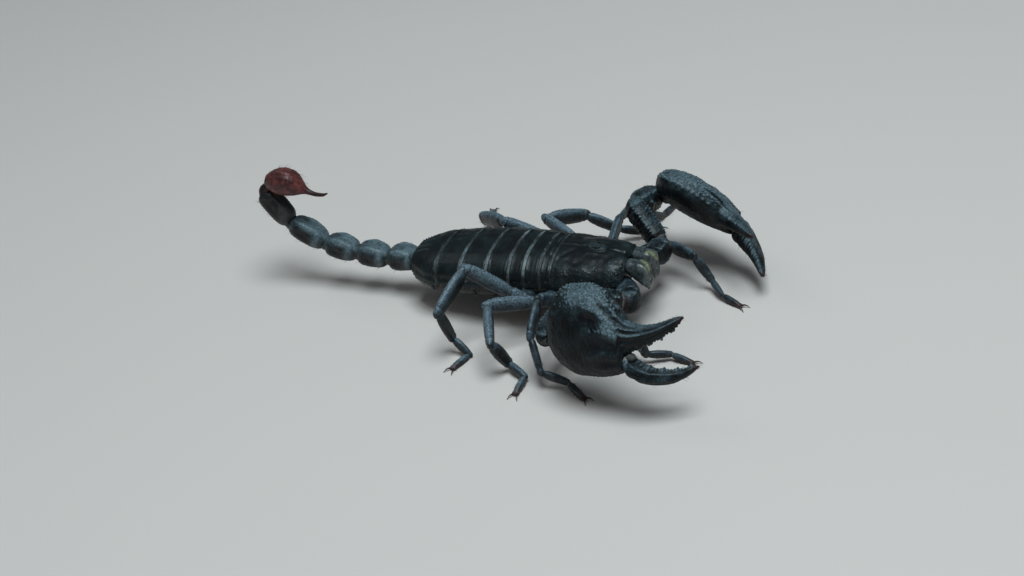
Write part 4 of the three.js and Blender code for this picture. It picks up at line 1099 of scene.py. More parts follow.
def chela_rows(stations):
    return [(x, outer - inner, depth, (inner + outer) / 2, -set_) for x, inner, outer, depth, set_ in stations]


def palm_relief(x, a, points):
    """Scalloped margins, ribs that run into the finger, a network of low ridges and toothed biting edge."""
    grain = bpy.context.scene.scorpion_sizes.granule_height * 1000
    body = fade(x, 0.6, 2.4) * fade(x, 19.5, 17.5)
    finger = fade(x, 18.4, 20.2) * fade(x, 31.6, 30.4)
    upper = fade(np.sin(a), -0.1, 0.4)
    made = keel(a, 176, 7) * body * (0.06 + (0.22 + 0.3 * ripple(points, 1.9, 7)) * beads(x + 0.4, 0.9, 1.0) ** 2)
    made += keel(a, 160, 5) * body * 0.2 * ripple(points, 1.4, 2) * beads(x + 0.2, 1.05, 1.0) ** 2
    made += keel(a, 0, 8) * body * (0.06 + 0.12 * beads(x, 0.9, 1.0)) * fade(x, 18.2, 17.0)
    ribs = sum(keel(a, at, 6.5) * fade(x, start, start + 3.5) * fade(x, 24, 18.5) * size for at, start, size in
               ((38, 11.5, 0.2), (62, 9.5, 0.26), (90, 8.5, 0.24), (118, 10.0, 0.24), (145, 11.5, 0.16)))
    made += ribs * (0.72 + 0.28 * beads(x, 1.0))
    made -= 0.16 * keels(a, 7, 50, 76, 104, 131) * fade(x, 12.5, 16) * fade(x, 21, 18.5)
    made += 0.16 * keels(a, 8, -48, -132) * body * beads(x, 1.0, 0.4)
    net = 1 - np.clip(np.abs(ripple(points, 1.15, 6.0)) * 3.2, 0, 1)
    made += 0.07 * net * body * upper * fade(x, 17, 12)
    rough = (0.45 + keel(a, 170, 55)) * (0.35 + 0.65 * upper)
    made += grain * body * (1.6 * rough * granules(points, 0.8, 81, 0.85) + 0.8 * granules(points, 0.44, 83, 0.85))
    teeth = keel(a, 8, 22) * (0.1 + 0.34 * beads(x, 0.7, 1.0) + 0.5 * beads(x + 0.9, 2.5, 1.0) ** 3)
    teeth += 0.2 * keel(a, 90, 13) + 0.14 * keel(a, 180, 20) * beads(x, 1.1, 0.8) + 0.14 * keel(a, 50, 9)
    made += finger * teeth + 0.1 * hump(x, 0.15, 0.3) - 0.1 * hump(x, 0.9, 0.25)
    made += 0.6 * hump(x, 11.2, 3.4) * keel(a, 130, 15) + 0.7 * hump(x, 16.8, 2.1) * keel(a, 102, 10)
    made -= 0.45 * hump(x, 12.6, 1.7) * keel(a, 106, 7) + 0.5 * hump(x, 17.0, 1.6) * keel(a, 85, 4)
    return made + 0.03 * ripple(points, 3.4, 1)


def moving_relief(x, a, points):
    """The moving finger's knuckle, ribs, grains and toothed biting edge."""
    grain = bpy.context.scene.scorpion_sizes.granule_height * 1000
    finger = fade(x, 19.2, 20.4) * fade(x, 31.0, 29.8)
    teeth = keel(a, 180, 24) * (0.1 + 0.28 * beads(x, 0.62, 1.0) + 0.34 * beads(x + 0.3, 2.5, 1.0) ** 4)
    ribs = (keels(a, 12, (62, 0.2), (10, 0.22), (118, 0.14)) + 0.16 * keel(a, -60, 14)) * fade(x, 29, 24)
    knuckle = 0.22 * hump(x, 19.1, 0.4) - 0.16 * hump(x, 19.9, 0.3)
    return (finger * (teeth + ribs) + knuckle + grain * 0.7 * granules(points, 0.5, 91, 0.6) * fade(x, 26, 21)
            + 0.03 * ripple(points, 1.2, 4))


def arm_relief(length, height, pitch, seed, coarse):
    """Beaded keels along the corners of an arm segment with hollowed faces and grains between."""
    def relief(x, a, points):
        ends = fade(x, 0.06 * length, 0.2 * length) * fade(x, length, 0.88 * length)
        ridges = height * keels(a, 9, 48, 132, (-48, 0.8), (-132, 0.9)) * beads(x, pitch, 0.8)
        hollow = 0.13 * (keels(a, 26, 90, -90) + 0.8 * keels(a, 24, 0, 180))
        rim = 0.1 * hump(x, length - 0.5, 0.4) - 0.08 * hump(x, length - 1.4, 0.35)
        grains = 1.5 * coarse * granules(points, 0.7, seed) + 0.06 * granules(points, 0.36, seed + 1, 0.75)
        return (ridges - hollow) * ends + rim + grains * (0.35 + 0.65 * ends) + 0.04 * ripple(points, 1.3, seed)
    return relief


def arm_shapes(side):
    """The shapes of one pincer arm and the soft skin at its joints."""
    pose = ARM_POSE[side]
    root = tip_trunk(np.array([side * ARM_ROOT[0], *ARM_ROOT[1:]]))
    lengths = [size[0] for size in ARM_SIZES.values()]
    joints = limb_joints(side, root, lengths, [pose[name] for name in ARM_SIZES])
    axes = [limb_axes(side, pose[name], joint) for name, joint in zip(ARM_SIZES, joints)]

    length, wide, high = ARM_SIZES["trochanter"]
    rows = sized(wide, high, (-0.3, 0.62, 0.62), (0.6, 0.78, 0.78), (1.3, 0.97, 0.95), (length * 0.66, 1, 1),
                 (length - 0.2, 0.86, 0.86))
    trochanter = tube(axes[0], rows, 2.3, 64, 0.13, arm_relief(length, 0.16, 0.75, 21 + side, 0.1), tips=(0.5, 1.6))
    length, wide, high = ARM_SIZES["femur"]
    rows = sized(wide, high, (0, 0.66, 0.66), (1.5, 0.72, 0.72), (2.4, 0.93, 0.92), (length * 0.5, 1, 1),
                 (length * 0.86, 1.04, 1.03), (length - 0.6, 0.98, 0.96), (length, 0.84, 0.84))
    femur = tube(axes[1], rows, 2.4, 72, 0.13, arm_relief(length, 0.22, 0.85, 31 + side, 0.11), tips=(0.5, 1.9),
                 tint=lambda x, a, p: 0.3 * fade(x, 3.4, 1.0))
    length, wide, high = ARM_SIZES["patella"]
    rows = sized(wide, high, (0, 0.7, 0.7), (1.7, 0.78, 0.78), (2.9, 0.96, 0.94), (length * 0.5, 1.02, 1),
                 (length * 0.76, 0.94, 0.93), (length - 1.4, 0.76, 0.76), (length - 0.3, 0.58, 0.58))
    keeled, inner = arm_relief(length, 0.22, 0.9, 51 + side, 0.11), 0 if side < 0 else 180

    def patella_relief(x, a, points):
        return keeled(x, a, points) + 0.55 * keel(a, inner, 20) * hump(x, 0.3 * length, 1.1)

    patella = tube(axes[2], rows, 2.3, 72, 0.13, patella_relief, tips=(0.5, 1.0))
    _, ahead, edge, up = chela_axes(side, root)
    origin = joints[3] + ahead * WRIST_AHEAD + up * WRIST_UNDER - edge * WRIST_OUT
    chela = (origin, ahead, edge, up)
    palm = tube(chela, chela_rows(PALM), 2.1, 132, 0.16, palm_relief, tips=(0.3, 0.3),
                tint=lambda x, a, p: 0.4 * fade(x, 29.4, 31.6))
    finger = tube(chela, chela_rows(MOVING_FINGER), 2.1, 64, 0.12, moving_relief, tips=(0.9, 0.3),
                  tint=lambda x, a, p: 0.4 * fade(x, 29.0, 31.0))
    lobe = blob(origin + ahead * 17.6 + edge * 8.0 + up * 0.4, (1.8, 1.5, 1.7), chela, 24)
    soft = [blob(origin + ahead * 18.5 + edge * 6.9 - up * 0.6, (2.6, 3.1, 3.7), chela, 32, wrinkles(0.05, 0.3),
                 power=2.2),
            blob(origin + ahead * 19.8 + edge * 5.7, (2.0, 1.6, 2.0), chela, 28, power=2.2, tint=even(0.85)),
            blob(joints[3] + ahead * 1.1, (3.2, 1.8, 1.9), chela, 28, lambda x, a, p: 0.05 * np.sin(x * 14),
                 tint=even(1))]
    for joint, wide, high, at in zip(axes, (3.7, 3.75, 3.75), (4.2, 4.2, 4.1), (1.0, 1.55, 1.7)):
        soft.append(collar(joint, wide, high, at, 0.32))
    made = {"femur": [trochanter, femur], "patella": [patella], "palm": [palm], "moving_finger": [finger]}
    return made, lobe, soft


# ------------------------------------------------------------------ tail
def tail_joints():
    joints = [tip_trunk(np.array(TAIL_START))]
    for length, _, _, lift in TAIL:
        joints.append(joints[-1] + direction(LEFT, 180, lift) * length)
    return joints


def tail_relief(length, number):
    """Beaded keels, a hollow along the top and smooth sides."""
    last = number == len(TAIL)

    def relief(x, a, points):
        ends = fade(x, 0.1 * length, 0.28 * length) * fade(x, length, 0.9 * length)
        swell = hump(x, 0.5 * length, 0.24 * length) * (0.4 if last else 1.0)
        ridges = keels(a, 9, 58, 122, (16, 0.6), (164, 0.6), (-38, 0.6), (-142, 0.6), (-72, 0.5), (-108, 0.5))
        made = ((0.1 + 0.1 * swell) * ridges
                * beads(x, 0.68 if last else 0.82, 0.4 + 0.3 * ripple(points, 2.2, 8)) * ends)
        made += 0.42 * swell * keels(a, 20, 56, 124) - 0.16 * keel(a, 90, 16) * ends
        made -= 0.4 * keels(a, 19, 8, 172) * hump(x, 0.62 * length, 0.22 * length)
        made += 0.14 * keels(a, 30, 20, 160) * hump(x, 0.2 * length, 0.1 * length)
        return made + 0.07 * granules(points, 0.55, 100 + number, 0.55) * ends + 0.03 * ripple(points, 1.3, number)
    return relief


def tail_sheen_mask(length, last):
    """Where a tail ring gets a painted sheen: across the top, and down the flanks behind its front edge."""
    def mask(x, a, points):
        t = x / length
        top = fade(np.sin(a), 0.35, 0.85) * (0.5 + 0.5 * fade(t, 0.8, 0.35))
        flank = fade(np.sin(a), -0.7, -0.3) * hump(t, 0.22, 0.11)
        rear = 0.5 * fade(np.sin(a), -0.3, 0.2) * hump(t, 0.93, 0.06)
        patchy = 0.75 + 0.35 * ripple(points, 1.6, 9)
        return np.clip(np.maximum(np.maximum(top, flank), rear) * patchy, 0, 1) * (0.12 if last else 0.95)
    return mask


def tail_ring_shapes():
    """The five rings of the tail, and the soft skin before each of them."""
    joints = tail_joints()
    rings, soft = [], []
    # Width and height of the skin where it leaves the piece before the ring, and that piece's lift.
    before = [(4.6, 4.1, -TRUNK_PITCH)] + [(wide * 0.61, high * 0.63, lift) for _, wide, high, lift in TAIL]
    for k, (length, wide, high, lift) in enumerate(TAIL):
        last = k == len(TAIL) - 1
        end = 0.74 if last else 0.68
        rows = sized(wide, high, (0.25, 0.58, 0.58), (0.6, 0.7, 0.7), (0.12 * length + 0.3, 0.9, 0.86),
                     (0.3 * length, 0.99, 0.96), (0.55 * length, 1, 1), (0.78 * length, 0.96, 0.97),
                     (length - 0.8, end + 0.14, end + 0.14), (length - 0.12, end * 0.9, end * 0.9))
        rings.append(tube(limb_axes(LEFT, (180, lift), joints[k]), rows, 2.15, 88, 0.12, tail_relief(length, k + 1),
                          tips=(0.2, 0.15), dome=3, tint=tail_sheen_mask(length, last)))
        size, tall, bend = before[k]
        rows = [(-0.7, size * 0.9, tall * 0.9), (-0.1, size, tall), (0.4, wide * 0.62, high * 0.64),
                (1.0, wide * 0.56, high * 0.58)]
        # The skin before each ring is paler on top as a painted highlight, most of all before the last ring.
        painted_light = 0.9 if last else 0.2
        soft.append(tube(limb_axes(LEFT, (180, (lift + bend) / 2), joints[k]), rows, 2.3, 56, 0.08,
                         wrinkles(0.05, 0.34), tips=(0.2, 0.2), dome=3,
                         tint=lambda x, a, p, painted_light=painted_light: 0.9 - painted_light * fade(np.sin(a), 0.5, 0.9)))
    return rings, soft


def telson_shapes():
    """The sting: a neck, a swollen bulb with lines of grains underneath, and a curved hollow spine."""
    end = tail_joints()[-1]
    start = end + np.array([0, STING_BACK, STING_RISE])
    rows = sized(BULB_WIDTH, BULB_HEIGHT, (-0.3, 0.34, 0.32, 0, -0.3), (0.4, 0.56, 0.54, 0, -0.4),
                 (1.5, 0.78, 0.76, 0, -0.45), (3.2, 0.95, 0.93, 0, -0.4), (5.0, 1, 1, 0, -0.4),
                 (6.8, 0.93, 0.92, 0, -0.15), (8.0, 0.77, 0.75, 0, 0.35), (8.9, 0.53, 0.52, 0, 1.1),
                 (9.6, 0.32, 0.31, 0, 1.9), (10.6, 0.21, 0.2, 0, 2.6), (12.2, 0.16, 0.15, 0, 3.2),
                 (13.8, 0.13, 0.12, 0, 3.35), (15.1, 0.05, 0.05, 0, 3.02))

    def relief(x, a, points):
        body = fade(x, 0.8, 2.2) * fade(x, 9.6, 7.8)
        made = 0.08 * keels(a, 8, -40, -68, -112, -140) * body * beads(x, 0.8, 0.6)
        made -= 0.07 * keels(a, 7, -54, -90, -126) * body + 0.12 * keel(a, 90, 16) * fade(x, 0.6, 1.6) * fade(x, 6, 3)
        made += 0.03 * granules(points, 0.6, 121, 0.4) * body + 0.06 * ripple(points, 2.0, 3) * body
        return made + 0.12 * hump(x, 0.55, 0.25)

    bulb = tube(limb_axes(LEFT, (180, STING_LIFT), start), rows, 2.1, 96, 0.11, relief, tips=(0.3, 0.12),
                tint=lambda x, a, p: 0.9 * fade(x, 9.4, 11.6))
    inside = start + direction(LEFT, 180, STING_LIFT) * 1.5
    neck = sweep([(*(end - direction(LEFT, 180, TAIL[-1][3]) * 0.9), 3.6, 3.6), (*(end + [0, -0.4, 0.3]), 3.0, 3.0),
                  (*(end + [0, -1.15, 1.2]), 2.6, 2.7), (*(start - [0, 0.8, 0.2]), 2.5, 2.6), (*inside, 2.4, 2.6)],
                 36, 40, relief=lambda q, a, p: 0.03 * np.sin(q * 60), upright=(1, 0, 0), tint=even(0.9))
    return bulb, neck


# ------------------------------------------------------------------ bristles
class Bristles:
    """Collects stiff hairs with a bake place for each root on an unwrap of the shell it grows from."""

    LIFT, DROOP = 0.8, 0.2  # how far a hair stands off the shell, and how far its tip bends forwards
    STAGES = ((0.0, 1.0), (0.35, 0.85), (0.7, 0.55))  # rings along a hair and their thickness
    LENGTHS, SWERVE = (0.55, 1.3), 0.25  # range of length, and spread to the sides
    PATCH_FILL, UV_WIDTH = 0.94, 0.003

    def __init__(self, seed, patches):
        self.random = np.random.default_rng(seed)
        self.points, self.tris, self.uv, self.out = [], [], [], []
        self.patches_across, self.patch = math.ceil(math.sqrt(patches)), 0

    def next_patch(self):
        across = self.patches_across
        place = (self.patch % across / across, self.patch // across / across, self.PATCH_FILL / across)
        self.patch += 1
        return place

    def grow(self, shape, count, length, thick, lean, where=None):
        """Plants hairs over a surface; where(x, a) gives their density from 0 to 1."""
        points, normals, x, a = shape.skin
        left, low, size = self.next_patch()
        placed, tries = 0, 0
        forwards = np.gradient(points, axis=0)
        while placed < count and tries < count * 30:
            tries += 1
            i = int(self.random.integers(1, points.shape[0] - 1))
            j = int(self.random.integers(0, points.shape[1]))
            if where is not None and self.random.random() > float(where(x[i], a[j])):
                continue
            placed += 1
            ahead, normal = unit(forwards[i, j]), normals[i, j]
            turn = np.cross(normal, ahead) * self.random.normal(0, self.SWERVE)
            go = unit(normal * self.LIFT + ahead * lean + turn)
            long = length * self.random.uniform(*self.LENGTHS)
            self.hair(points[i, j] - normal * 0.06, go, ahead * self.DROOP, long, thick,
                      (left + size * i / points.shape[0], low + size * j / points.shape[1]))

    def hair(self, root, go, bend, long, thick, spot):
        """One hair of three sides with a pointed tip."""
        side = unit(np.cross(go, [0.3, 0.4, 0.86]))
        over = np.cross(go, side)
        start = len(self.points)
        for t, size in self.STAGES:
            centre = root + go * long * t + bend * long * t * t
            for k in range(3):
                turn = 2 * math.pi * k / 3
                self.points.append(centre + (side * math.cos(turn) + over * math.sin(turn)) * thick * size / 2)
                self.uv.append((spot[0] + self.UV_WIDTH * k / 3, spot[1] + self.UV_WIDTH * t))
                self.out.append(t)
        self.points.append(root + go * long + bend * long)
        self.uv.append((spot[0] + self.UV_WIDTH / 2, spot[1] + self.UV_WIDTH))
        self.out.append(1.0)
        for row in range(2):
            for k in range(3):
                p, q = start + row * 3 + k, start + row * 3 + (k + 1) % 3
                self.tris += [(p, q, q + 3), (p, q + 3, p + 3)]
        self.tris += [(start + 6 + k, start + 6 + (k + 1) % 3, start + 9) for k in range(3)]
        self.tris.append((start, start + 2, start + 1))

    def shape(self):
        points = np.array(self.points)
        points[:, 2] = np.maximum(points[:, 2], 0.01)
        return Shape(points, np.zeros((0, 4), int), np.array(self.tris),
                     {"raised": np.zeros(len(points)), "tint": np.array(self.out)})


# ------------------------------------------------------------------ what a user may change
def length_property(name, description, default, low, high):
    return FloatProperty(name=name, description=description, default=default, min=low, max=high, unit="LENGTH",
                         precision=5)


def colour_property(name, description, default):
    return FloatVectorProperty(name=name, description=description, default=default, subtype="COLOR", size=3,
                               min=0, max=1)


class ScorpionSizes(PropertyGroup):
    granule_height: length_property("Granule height", "Height of the grains on the shell", 0.00011, 0, 0.0005)
    grain_depth: FloatProperty(name="Fine grain", description="Strength of the shell's finest grain", default=0.35,
                               min=0, max=1)
    plate_gap: length_property("Plate gap", "Width of soft skin that shows between two upper plates", 0.00054,
                               0.0001, 0.0015)
    eye_radius: length_property("Eye radius", "Radius of the two middle eyes", 0.00052, 0.0002, 0.001)
    comb_teeth: IntProperty(name="Comb teeth", description="Teeth on each comb under the trunk", default=16,
                            min=6, max=24)
    bristle_length: length_property("Bristle length", "Length of the longest ordinary bristles", 0.0012,
                                    0.0003, 0.003)
    bristle_thickness: length_property("Bristle thickness", "Thickness of a bristle at its root", 0.00006,
                                       0.00002, 0.0002)
    camera_lens: FloatProperty(name="Lens", description="Focal length of the camera", default=67.18, min=20,
                               max=200, unit="CAMERA")
    light_power: FloatProperty(name="Light power", description="Power of the main light", default=3.2, min=0,
                               max=100, unit="POWER")


class ScorpionColours(PropertyGroup):
    shell_dark: colour_property("Shell dark", "Darkest colour of the shell", (0.0025, 0.0048, 0.0053))
    shell_light: colour_property("Shell light", "Blue-green cast of the shell", (0.0085, 0.0165, 0.0185))
    shell_crest: colour_property("Shell crests", "Worn grey of keels and grains", (0.030, 0.048, 0.054))
    leg_dark: colour_property("Leg dark", "Darkest colour of the legs", (0.012, 0.019, 0.023))
    leg_light: colour_property("Leg light", "Blue-grey cast of the legs", (0.060, 0.088, 0.110))
    # Grey of crests with wear on pincers and tail, and painted sheen on the pincers' up-facing slopes.
    arm_crest: colour_property("Pale crests", "Worn blue-grey of grains and keels on limbs", (0.150, 0.210, 0.240))
    # Painted sheen across the top of the tail rings.
    saddle_pale: colour_property("Tail saddles", "Blue-grey bloom on top of the tail rings", (0.165, 0.225, 0.255))
    # Painted sheen on the legs' up-facing faces, and grey of crests with wear.
    leg_crest: colour_property("Pale leg faces", "Blue-grey bloom on top of the legs", (0.190, 0.260, 0.310))
    tail_brown: colour_property("Last ring", "Brown cast of the last tail ring", (0.062, 0.047, 0.046))
    arm_light: colour_property("Pincer light", "Blue-green cast of the pincers and tail", (0.030, 0.050, 0.060))
    tip_red: colour_property("Red tips", "Red-brown of feet and finger tips", (0.075, 0.018, 0.012))
    belly_dark: colour_property("Belly dark", "Darkest colour of the under side", (0.008, 0.008, 0.008))
    belly_light: colour_property("Belly light", "Brown cast of the under side", (0.024, 0.020, 0.017))
    sting_dark: colour_property("Sting dark", "Deep maroon of the sting", (0.070, 0.019, 0.018))
    sting_red: colour_property("Sting red", "Red-brown of the sting", (0.185, 0.050, 0.044))
    claw_dark: colour_property("Claw dark", "Dark horn of the claws", (0.020, 0.008, 0.006))
    comb_tan: colour_property("Comb tan", "Tan of the combs", (0.42, 0.27, 0.13))
    comb_deep: colour_property("Comb brown", "Brown of the combs' base", (0.17, 0.085, 0.035))
    skin_pale: colour_property("Joint skin pale", "Pale skin between plates and at joints", (0.27, 0.29, 0.265))
    skin_deep: colour_property("Joint skin deep", "Darker folds of the joint skin", (0.030, 0.031, 0.029))
    flank_pale: colour_property("Flank pale", "Skin between the plates", (0.21, 0.255, 0.27))
    flank_deep: colour_property("Flank deep", "Skin along the flanks", (0.012, 0.014, 0.014))
    jaw_dark: colour_property("Jaw dark", "Darkest colour of the jaws", (0.034, 0.042, 0.044))
    jaw_light: colour_property("Jaw light", "Blue-grey cast of the jaws", (0.115, 0.140, 0.146))
    jaw_pale: colour_property("Jaw streak", "Yellowish streak on the jaws", (0.34, 0.36, 0.19))
    eye_amber: colour_property("Eye depth", "Amber depth of the eyes", (0.02, 0.009, 0.003))
    bristle_dark: colour_property("Bristle dark", "Dark bristles", (0.020, 0.010, 0.007))
    bristle_red: colour_property("Bristle red", "Red-brown bristles", (0.085, 0.034, 0.018))
    bristle_pale: colour_property("Bristle tips", "Paler tips of the bristles", (0.32, 0.16, 0.07))
    floor: colour_property("Floor", "Pale studio floor", (0.74, 0.65, 0.605))


# ------------------------------------------------------------------ operators
class SCORPION_OT_carapace(Operator):
    """Build the head shield with its furrows, grains and eye mound"""
    bl_idname = "scorpion.carapace"
    bl_label = "Carapace"

    def execute(self, context):
        build_piece("carapace_shield", [carapace_shape()], "shell_blue_black", ["carapace"], "shell")
        return {"FINISHED"}


class SCORPION_OT_eyes(Operator):
    """Build the middle and side eyes with the rims round them"""
    bl_idname = "scorpion.eyes"
    bl_label = "Eyes"

    def execute(self, context):
        eyes, rims = median_eye_shapes()
        build_piece("eyes", eyes, "eye_lens")
        build_piece("eye_rims", rims, "shell_blue_black")
        return {"FINISHED"}


class SCORPION_OT_upper_plates(Operator):
    """Build the seven upper plates of the trunk"""
    bl_idname = "scorpion.upper_plates"
    bl_label = "Upper plates"

    def execute(self, context):
        for number in range(1, len(TERGITES) + 1):
            build_piece(f"upper_plate_{number}", [tergite_shape(number)], "shell_blue_black",
                        [f"tergite_{number}"], "shell")
        return {"FINISHED"}


class SCORPION_OT_lower_plates(Operator):
    """Build the belly plates, the leg bases and the breastplate"""
    bl_idname = "scorpion.lower_plates"
    bl_label = "Lower plates"

    def execute(self, context):
        plates = [sternite_shape(number) for number in range(1, 6)]
        build_piece("belly_plates", plates, "shell_belly", ["sternites"], "shell")
        build_piece("leg_bases", coxa_shapes(), "shell_leg", ["coxosternum"], "shell")
        return {"FINISHED"}


class SCORPION_OT_trunk_skin(Operator):
    """Build the soft skin that shows between the trunk's plates"""
    bl_idname = "scorpion.trunk_skin"
    bl_label = "Trunk skin"

    def execute(self, context):
        build_piece("trunk_skin", [trunk_skin_shape()], "flank_skin")
        return {"FINISHED"}


class SCORPION_OT_combs(Operator):
    """Build the two combs under the trunk"""
    bl_idname = "scorpion.combs"
    bl_label = "Combs"

    def execute(self, context):
        for word, side in SIDES.items():
            build_piece(f"comb_{word}", pectine_shapes(side), "comb_horn", [f"pectine_{word}"], "comb")
        return {"FINISHED"}


class SCORPION_OT_jaws(Operator):
    """Build the two jaws with their fingers and teeth"""
    bl_idname = "scorpion.jaws"
    bl_label = "Jaws"

    def execute(self, context):
        for word, side in SIDES.items():
            hand, fingers = chelicera_shapes(side)
            GROWN[f"jaw_{word}"] = hand
            build_piece(f"jaw_{word}", [hand], "shell_jaw", [f"chelicera_{word}"], "jaw")
            build_piece(f"jaw_fingers_{word}", fingers, "shell_jaw", (), "jaw")
        return {"FINISHED"}


class SCORPION_OT_arms(Operator):
    """Build the pincer arms: upper arm, fore arm, palm and moving finger of each side"""
    bl_idname = "scorpion.arms"
    bl_label = "Pincer arms"

    def execute(self, context):
        # Painted light on the arms: shade on down-facing slopes and a sheen on up-facing ones, the palms' sheen from
        # their own slope levels.
        soft, painted_light = [], {"under": 0.4, "painted_sheen": 0.17, "level": 0.5, "spread": 0.36}
        for word, side in SIDES.items():
            made, lobe, rings = arm_shapes(side)
            soft += rings
            top = {"level": 0.42} if side == LEFT else {"level": 0.64, "spread": 0.3}
            for name, key, node, extra, look in (
                    (f"arm_{word}_upper", "femur", f"pedipalp_{word}_femur", [], {}),
                    (f"arm_{word}_fore", "patella", f"pedipalp_{word}_patella", [], {}),
                    (f"pincer_{word}_palm", "palm", f"chela_{word}_palm", [lobe], top),
                    (f"pincer_{word}_finger", "moving_finger", f"chela_{word}_moving_finger", [], {"painted_sheen": 0.05})):
                build_piece(name, made[key] + extra, "shell_pincer_arm", [node], "shell", **{**painted_light, **look})
                GROWN[f"arm_{key}_{word}"] = made[key][-1]
        build_piece("arm_joint_skin", soft, "joint_skin")
        return {"FINISHED"}


class SCORPION_OT_legs(Operator):
    """Build the eight walking legs with their claws and joint skin"""
    bl_idname = "scorpion.legs"
    bl_label = "Legs"

    def execute(self, context):
        soft = []
        # Painted light on the legs: shade on down-facing slopes and a sheen above these slope levels, weaker on legs I
        # and II.
        sheen_from = {"femur": -0.4, "patella": 0.2, "tibia": 0.25}
        for word, side in SIDES.items():
            for number in (1, 2, 3, 4):
                painted_light = {"under": 0.4, "painted_sheen": 0.1 if number < 3 else 0.24}
                made, rings = leg_shapes(side, number)
                soft += rings
                stem = f"leg_{number}_{word}"
                for key in ("femur", "patella", "tibia"):
                    build_piece(f"{stem}_{key}_shell", [made[key]], "shell_leg", [f"{stem}_{key}"], "shell",
                                level=sheen_from[key], **painted_light)
                    GROWN[f"{stem}_{key}"] = made[key]
                build_piece(f"{stem}_foot", made["tarsus"], "shell_leg", [f"{stem}_tarsus"], "foot", level=0.4, **painted_light)
                build_piece(f"{stem}_claws", made["claws"], "claw_horn", (), "foot")
                GROWN[f"{stem}_base"], GROWN[f"{stem}_sole"] = made["tarsus"]
        build_piece("leg_joint_skin", soft, "joint_skin")
        return {"FINISHED"}


class SCORPION_OT_tail(Operator):
    """Build the five tail rings and the skin between them"""
    bl_idname = "scorpion.tail"
    bl_label = "Tail"

    def execute(self, context):
        rings, soft = tail_ring_shapes()
        for number, ring in enumerate(rings, 1):
            look = "shell_tail_end" if number == len(rings) else "shell_tail"
            # Painted shade on each ring's down-facing slopes.
            build_piece(f"tail_ring_{number}", [ring], look, [f"metasoma_{number}"], "shell", under=0.3, level=0.3)
            GROWN[f"tail_{number}"] = ring
        build_piece("tail_joint_skin", soft, "joint_skin")
        return {"FINISHED"}


class SCORPION_OT_sting(Operator):
    """Build the sting's bulb, spine and neck"""
    bl_idname = "scorpion.sting"
    bl_label = "Sting"

    def execute(self, context):
        bulb, neck = telson_shapes()
        build_piece("sting_bulb", [bulb], "shell_sting", ["telson"], "sting")
        build_piece("sting_neck", [neck], "shell_sting")
        GROWN["sting"] = bulb
        return {"FINISHED"}


class SCORPION_OT_bristles(Operator):
    """Plant the sparse bristles on the legs, arms, tail, sting and jaws"""
    bl_idname = "scorpion.bristles"
    bl_label = "Bristles"

    def execute(self, context):
        if "sting" not in GROWN:
            raise RuntimeError("build the shell pieces before the bristles")
        sizes = context.scene.scorpion_sizes
        long, thick = sizes.bristle_length * 1000, sizes.bristle_thickness * 1000
        # How many hairs, their length, thickness and lean, and where on each kind of shell.
        kinds = {
            "jaw": (80, 0.6 * long, 0.7 * thick, 1.2, lambda x, a: (x > 1.2) * max(0.1, math.cos(a - 2.3))),
            "foot": (46, 0.55 * long, 0.8 * thick, 0.8, lambda x, a: 0.4 + 0.6 * (math.sin(a) < 0.2)),
            "leg": (34, 0.6 * long, 0.8 * thick, 0.7),
            "sting": (90, long, thick, 0.6, lambda x, a: (1.2 < x < 9.5) * (0.4 + 0.6 * (math.sin(a) < 0))),
            "tail": (34, 0.9 * long, thick, 0.6, lambda x, a: 0.35 + 0.65 * (math.sin(a) < 0)),
            "arm": (70, 0.8 * long, thick, 0.6, lambda x, a: 0.4 + 0.6 * (abs(math.sin(a)) < 0.7)),
        }
        coat = Bristles(BRISTLE_SEED, len(GROWN))
        for name, shape in GROWN.items():
            coat.grow(shape, *kinds["foot" if name.endswith(("_sole", "_base")) else name.split("_")[0]])
        build_piece("bristles", [coat.shape()], "bristle", uv=np.array(coat.uv))
        return {"FINISHED"}


def sphere_direction(azimuth, elevation):
    """The direction of a place round the model, both angles in degrees."""
    az, el = math.radians(azimuth), math.radians(elevation)
    return Vector((math.cos(az) * math.cos(el), math.sin(az) * math.cos(el), math.sin(el)))


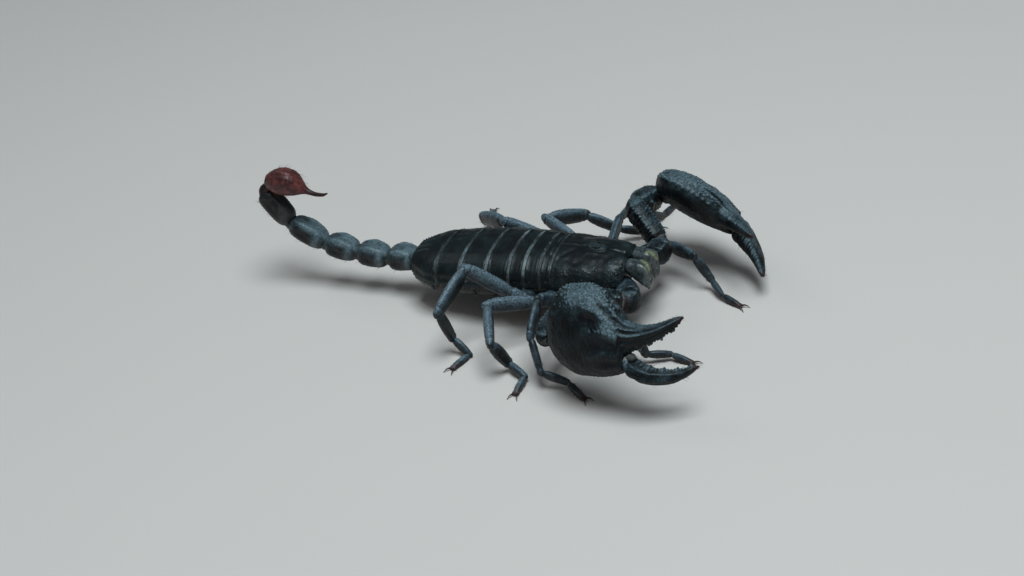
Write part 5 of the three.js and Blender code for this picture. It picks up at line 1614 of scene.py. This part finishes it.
class SCORPION_OT_stage(Operator):
    """Set up the pale floor, the soft studio lights and the camera"""
    bl_idname = "scorpion.stage"
    bl_label = "Stage"

    def execute(self, context):
        scene = context.scene
        sizes = scene.scorpion_sizes
        mesh = bpy.data.meshes.new("studio_floor")
        half = FLOOR_SIZE / 2
        mesh.from_pydata([(-half, -half, 0), (half, -half, 0), (half, half, 0), (-half, half, 0)], [], [(0, 1, 2, 3)])
        floor = bpy.data.objects.new("studio_floor", mesh)
        scene.collection.objects.link(floor)
        mesh.materials.append(finish("floor_paint"))

        target = Vector(LIGHT_TARGET)
        for name, azimuth, elevation, distance, size, power, colour in LIGHTS:
            light = bpy.data.lights.new(name, "AREA")
            light.shape, light.size, light.energy, light.color = "DISK", size, sizes.light_power * power, colour
            lamp = bpy.data.objects.new(name, light)
            lamp.location = target + distance * sphere_direction(azimuth, elevation)
            lamp.rotation_euler = (target - lamp.location).to_track_quat("-Z", "Y").to_euler()
            scene.collection.objects.link(lamp)
        world = bpy.data.worlds.new("studio_air")
        world.use_nodes = True
        feed(world.node_tree, world.node_tree.nodes["Background"], {"Color": AIR_COLOUR, "Strength": AIR_STRENGTH})
        scene.world = world
        scene.view_settings.view_transform = "Standard"

        lens = bpy.data.cameras.new("studio_camera")
        lens.lens, lens.sensor_width, lens.clip_start = sizes.camera_lens, 36.0, 0.01
        camera = bpy.data.objects.new("studio_camera", lens)
        back = sphere_direction(CAMERA_AZIMUTH - 90, CAMERA_ELEVATION)
        right = sphere_direction(CAMERA_AZIMUTH, 0)
        up, roll = back.cross(right), math.radians(CAMERA_ROLL)
        axes = (right * math.cos(roll) + up * math.sin(roll), up * math.cos(roll) - right * math.sin(roll), back,
                (Vector(CAMERA_PLACE) + Vector(SHIFT)) / 1000)
        camera.matrix_world = Matrix((*zip(*axes), (0, 0, 0, 1)))
        scene.collection.objects.link(camera)
        scene.camera = camera
        return {"FINISHED"}


PIECE_OPERATORS = (SCORPION_OT_carapace, SCORPION_OT_eyes, SCORPION_OT_upper_plates, SCORPION_OT_lower_plates,
                   SCORPION_OT_trunk_skin, SCORPION_OT_combs, SCORPION_OT_jaws, SCORPION_OT_arms, SCORPION_OT_legs,
                   SCORPION_OT_tail, SCORPION_OT_sting, SCORPION_OT_bristles, SCORPION_OT_stage)


class SCORPION_PT_panel(Panel):
    """Lists the scorpion's pieces, sizes and colours"""
    bl_idname = "SCORPION_PT_panel"
    bl_label = "Forest scorpion"
    bl_space_type = "VIEW_3D"
    bl_region_type = "UI"
    bl_category = "Scorpion"

    def draw(self, context):
        for kind in PIECE_OPERATORS:
            self.layout.operator(kind.bl_idname)
        for group in (context.scene.scorpion_sizes, context.scene.scorpion_colours):
            box = self.layout.box()
            for key in group.__annotations__:
                box.prop(group, key)


CLASSES = (ScorpionSizes, ScorpionColours, *PIECE_OPERATORS, SCORPION_PT_panel)


def register():
    for kind in CLASSES:
        bpy.utils.register_class(kind)
    bpy.types.Scene.scorpion_sizes = PointerProperty(type=ScorpionSizes)
    bpy.types.Scene.scorpion_colours = PointerProperty(type=ScorpionColours)


def unregister():
    del bpy.types.Scene.scorpion_colours
    del bpy.types.Scene.scorpion_sizes
    for kind in reversed(CLASSES):
        bpy.utils.unregister_class(kind)


def main():
    register()
    bpy.ops.scorpion.carapace()
    bpy.ops.scorpion.eyes()
    bpy.ops.scorpion.upper_plates()
    bpy.ops.scorpion.lower_plates()
    bpy.ops.scorpion.trunk_skin()
    bpy.ops.scorpion.combs()
    bpy.ops.scorpion.jaws()
    bpy.ops.scorpion.arms()
    bpy.ops.scorpion.legs()
    bpy.ops.scorpion.tail()
    bpy.ops.scorpion.sting()
    bpy.ops.scorpion.bristles()
    bpy.ops.scorpion.stage()
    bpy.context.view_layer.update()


if __name__ == "__main__":
    main()
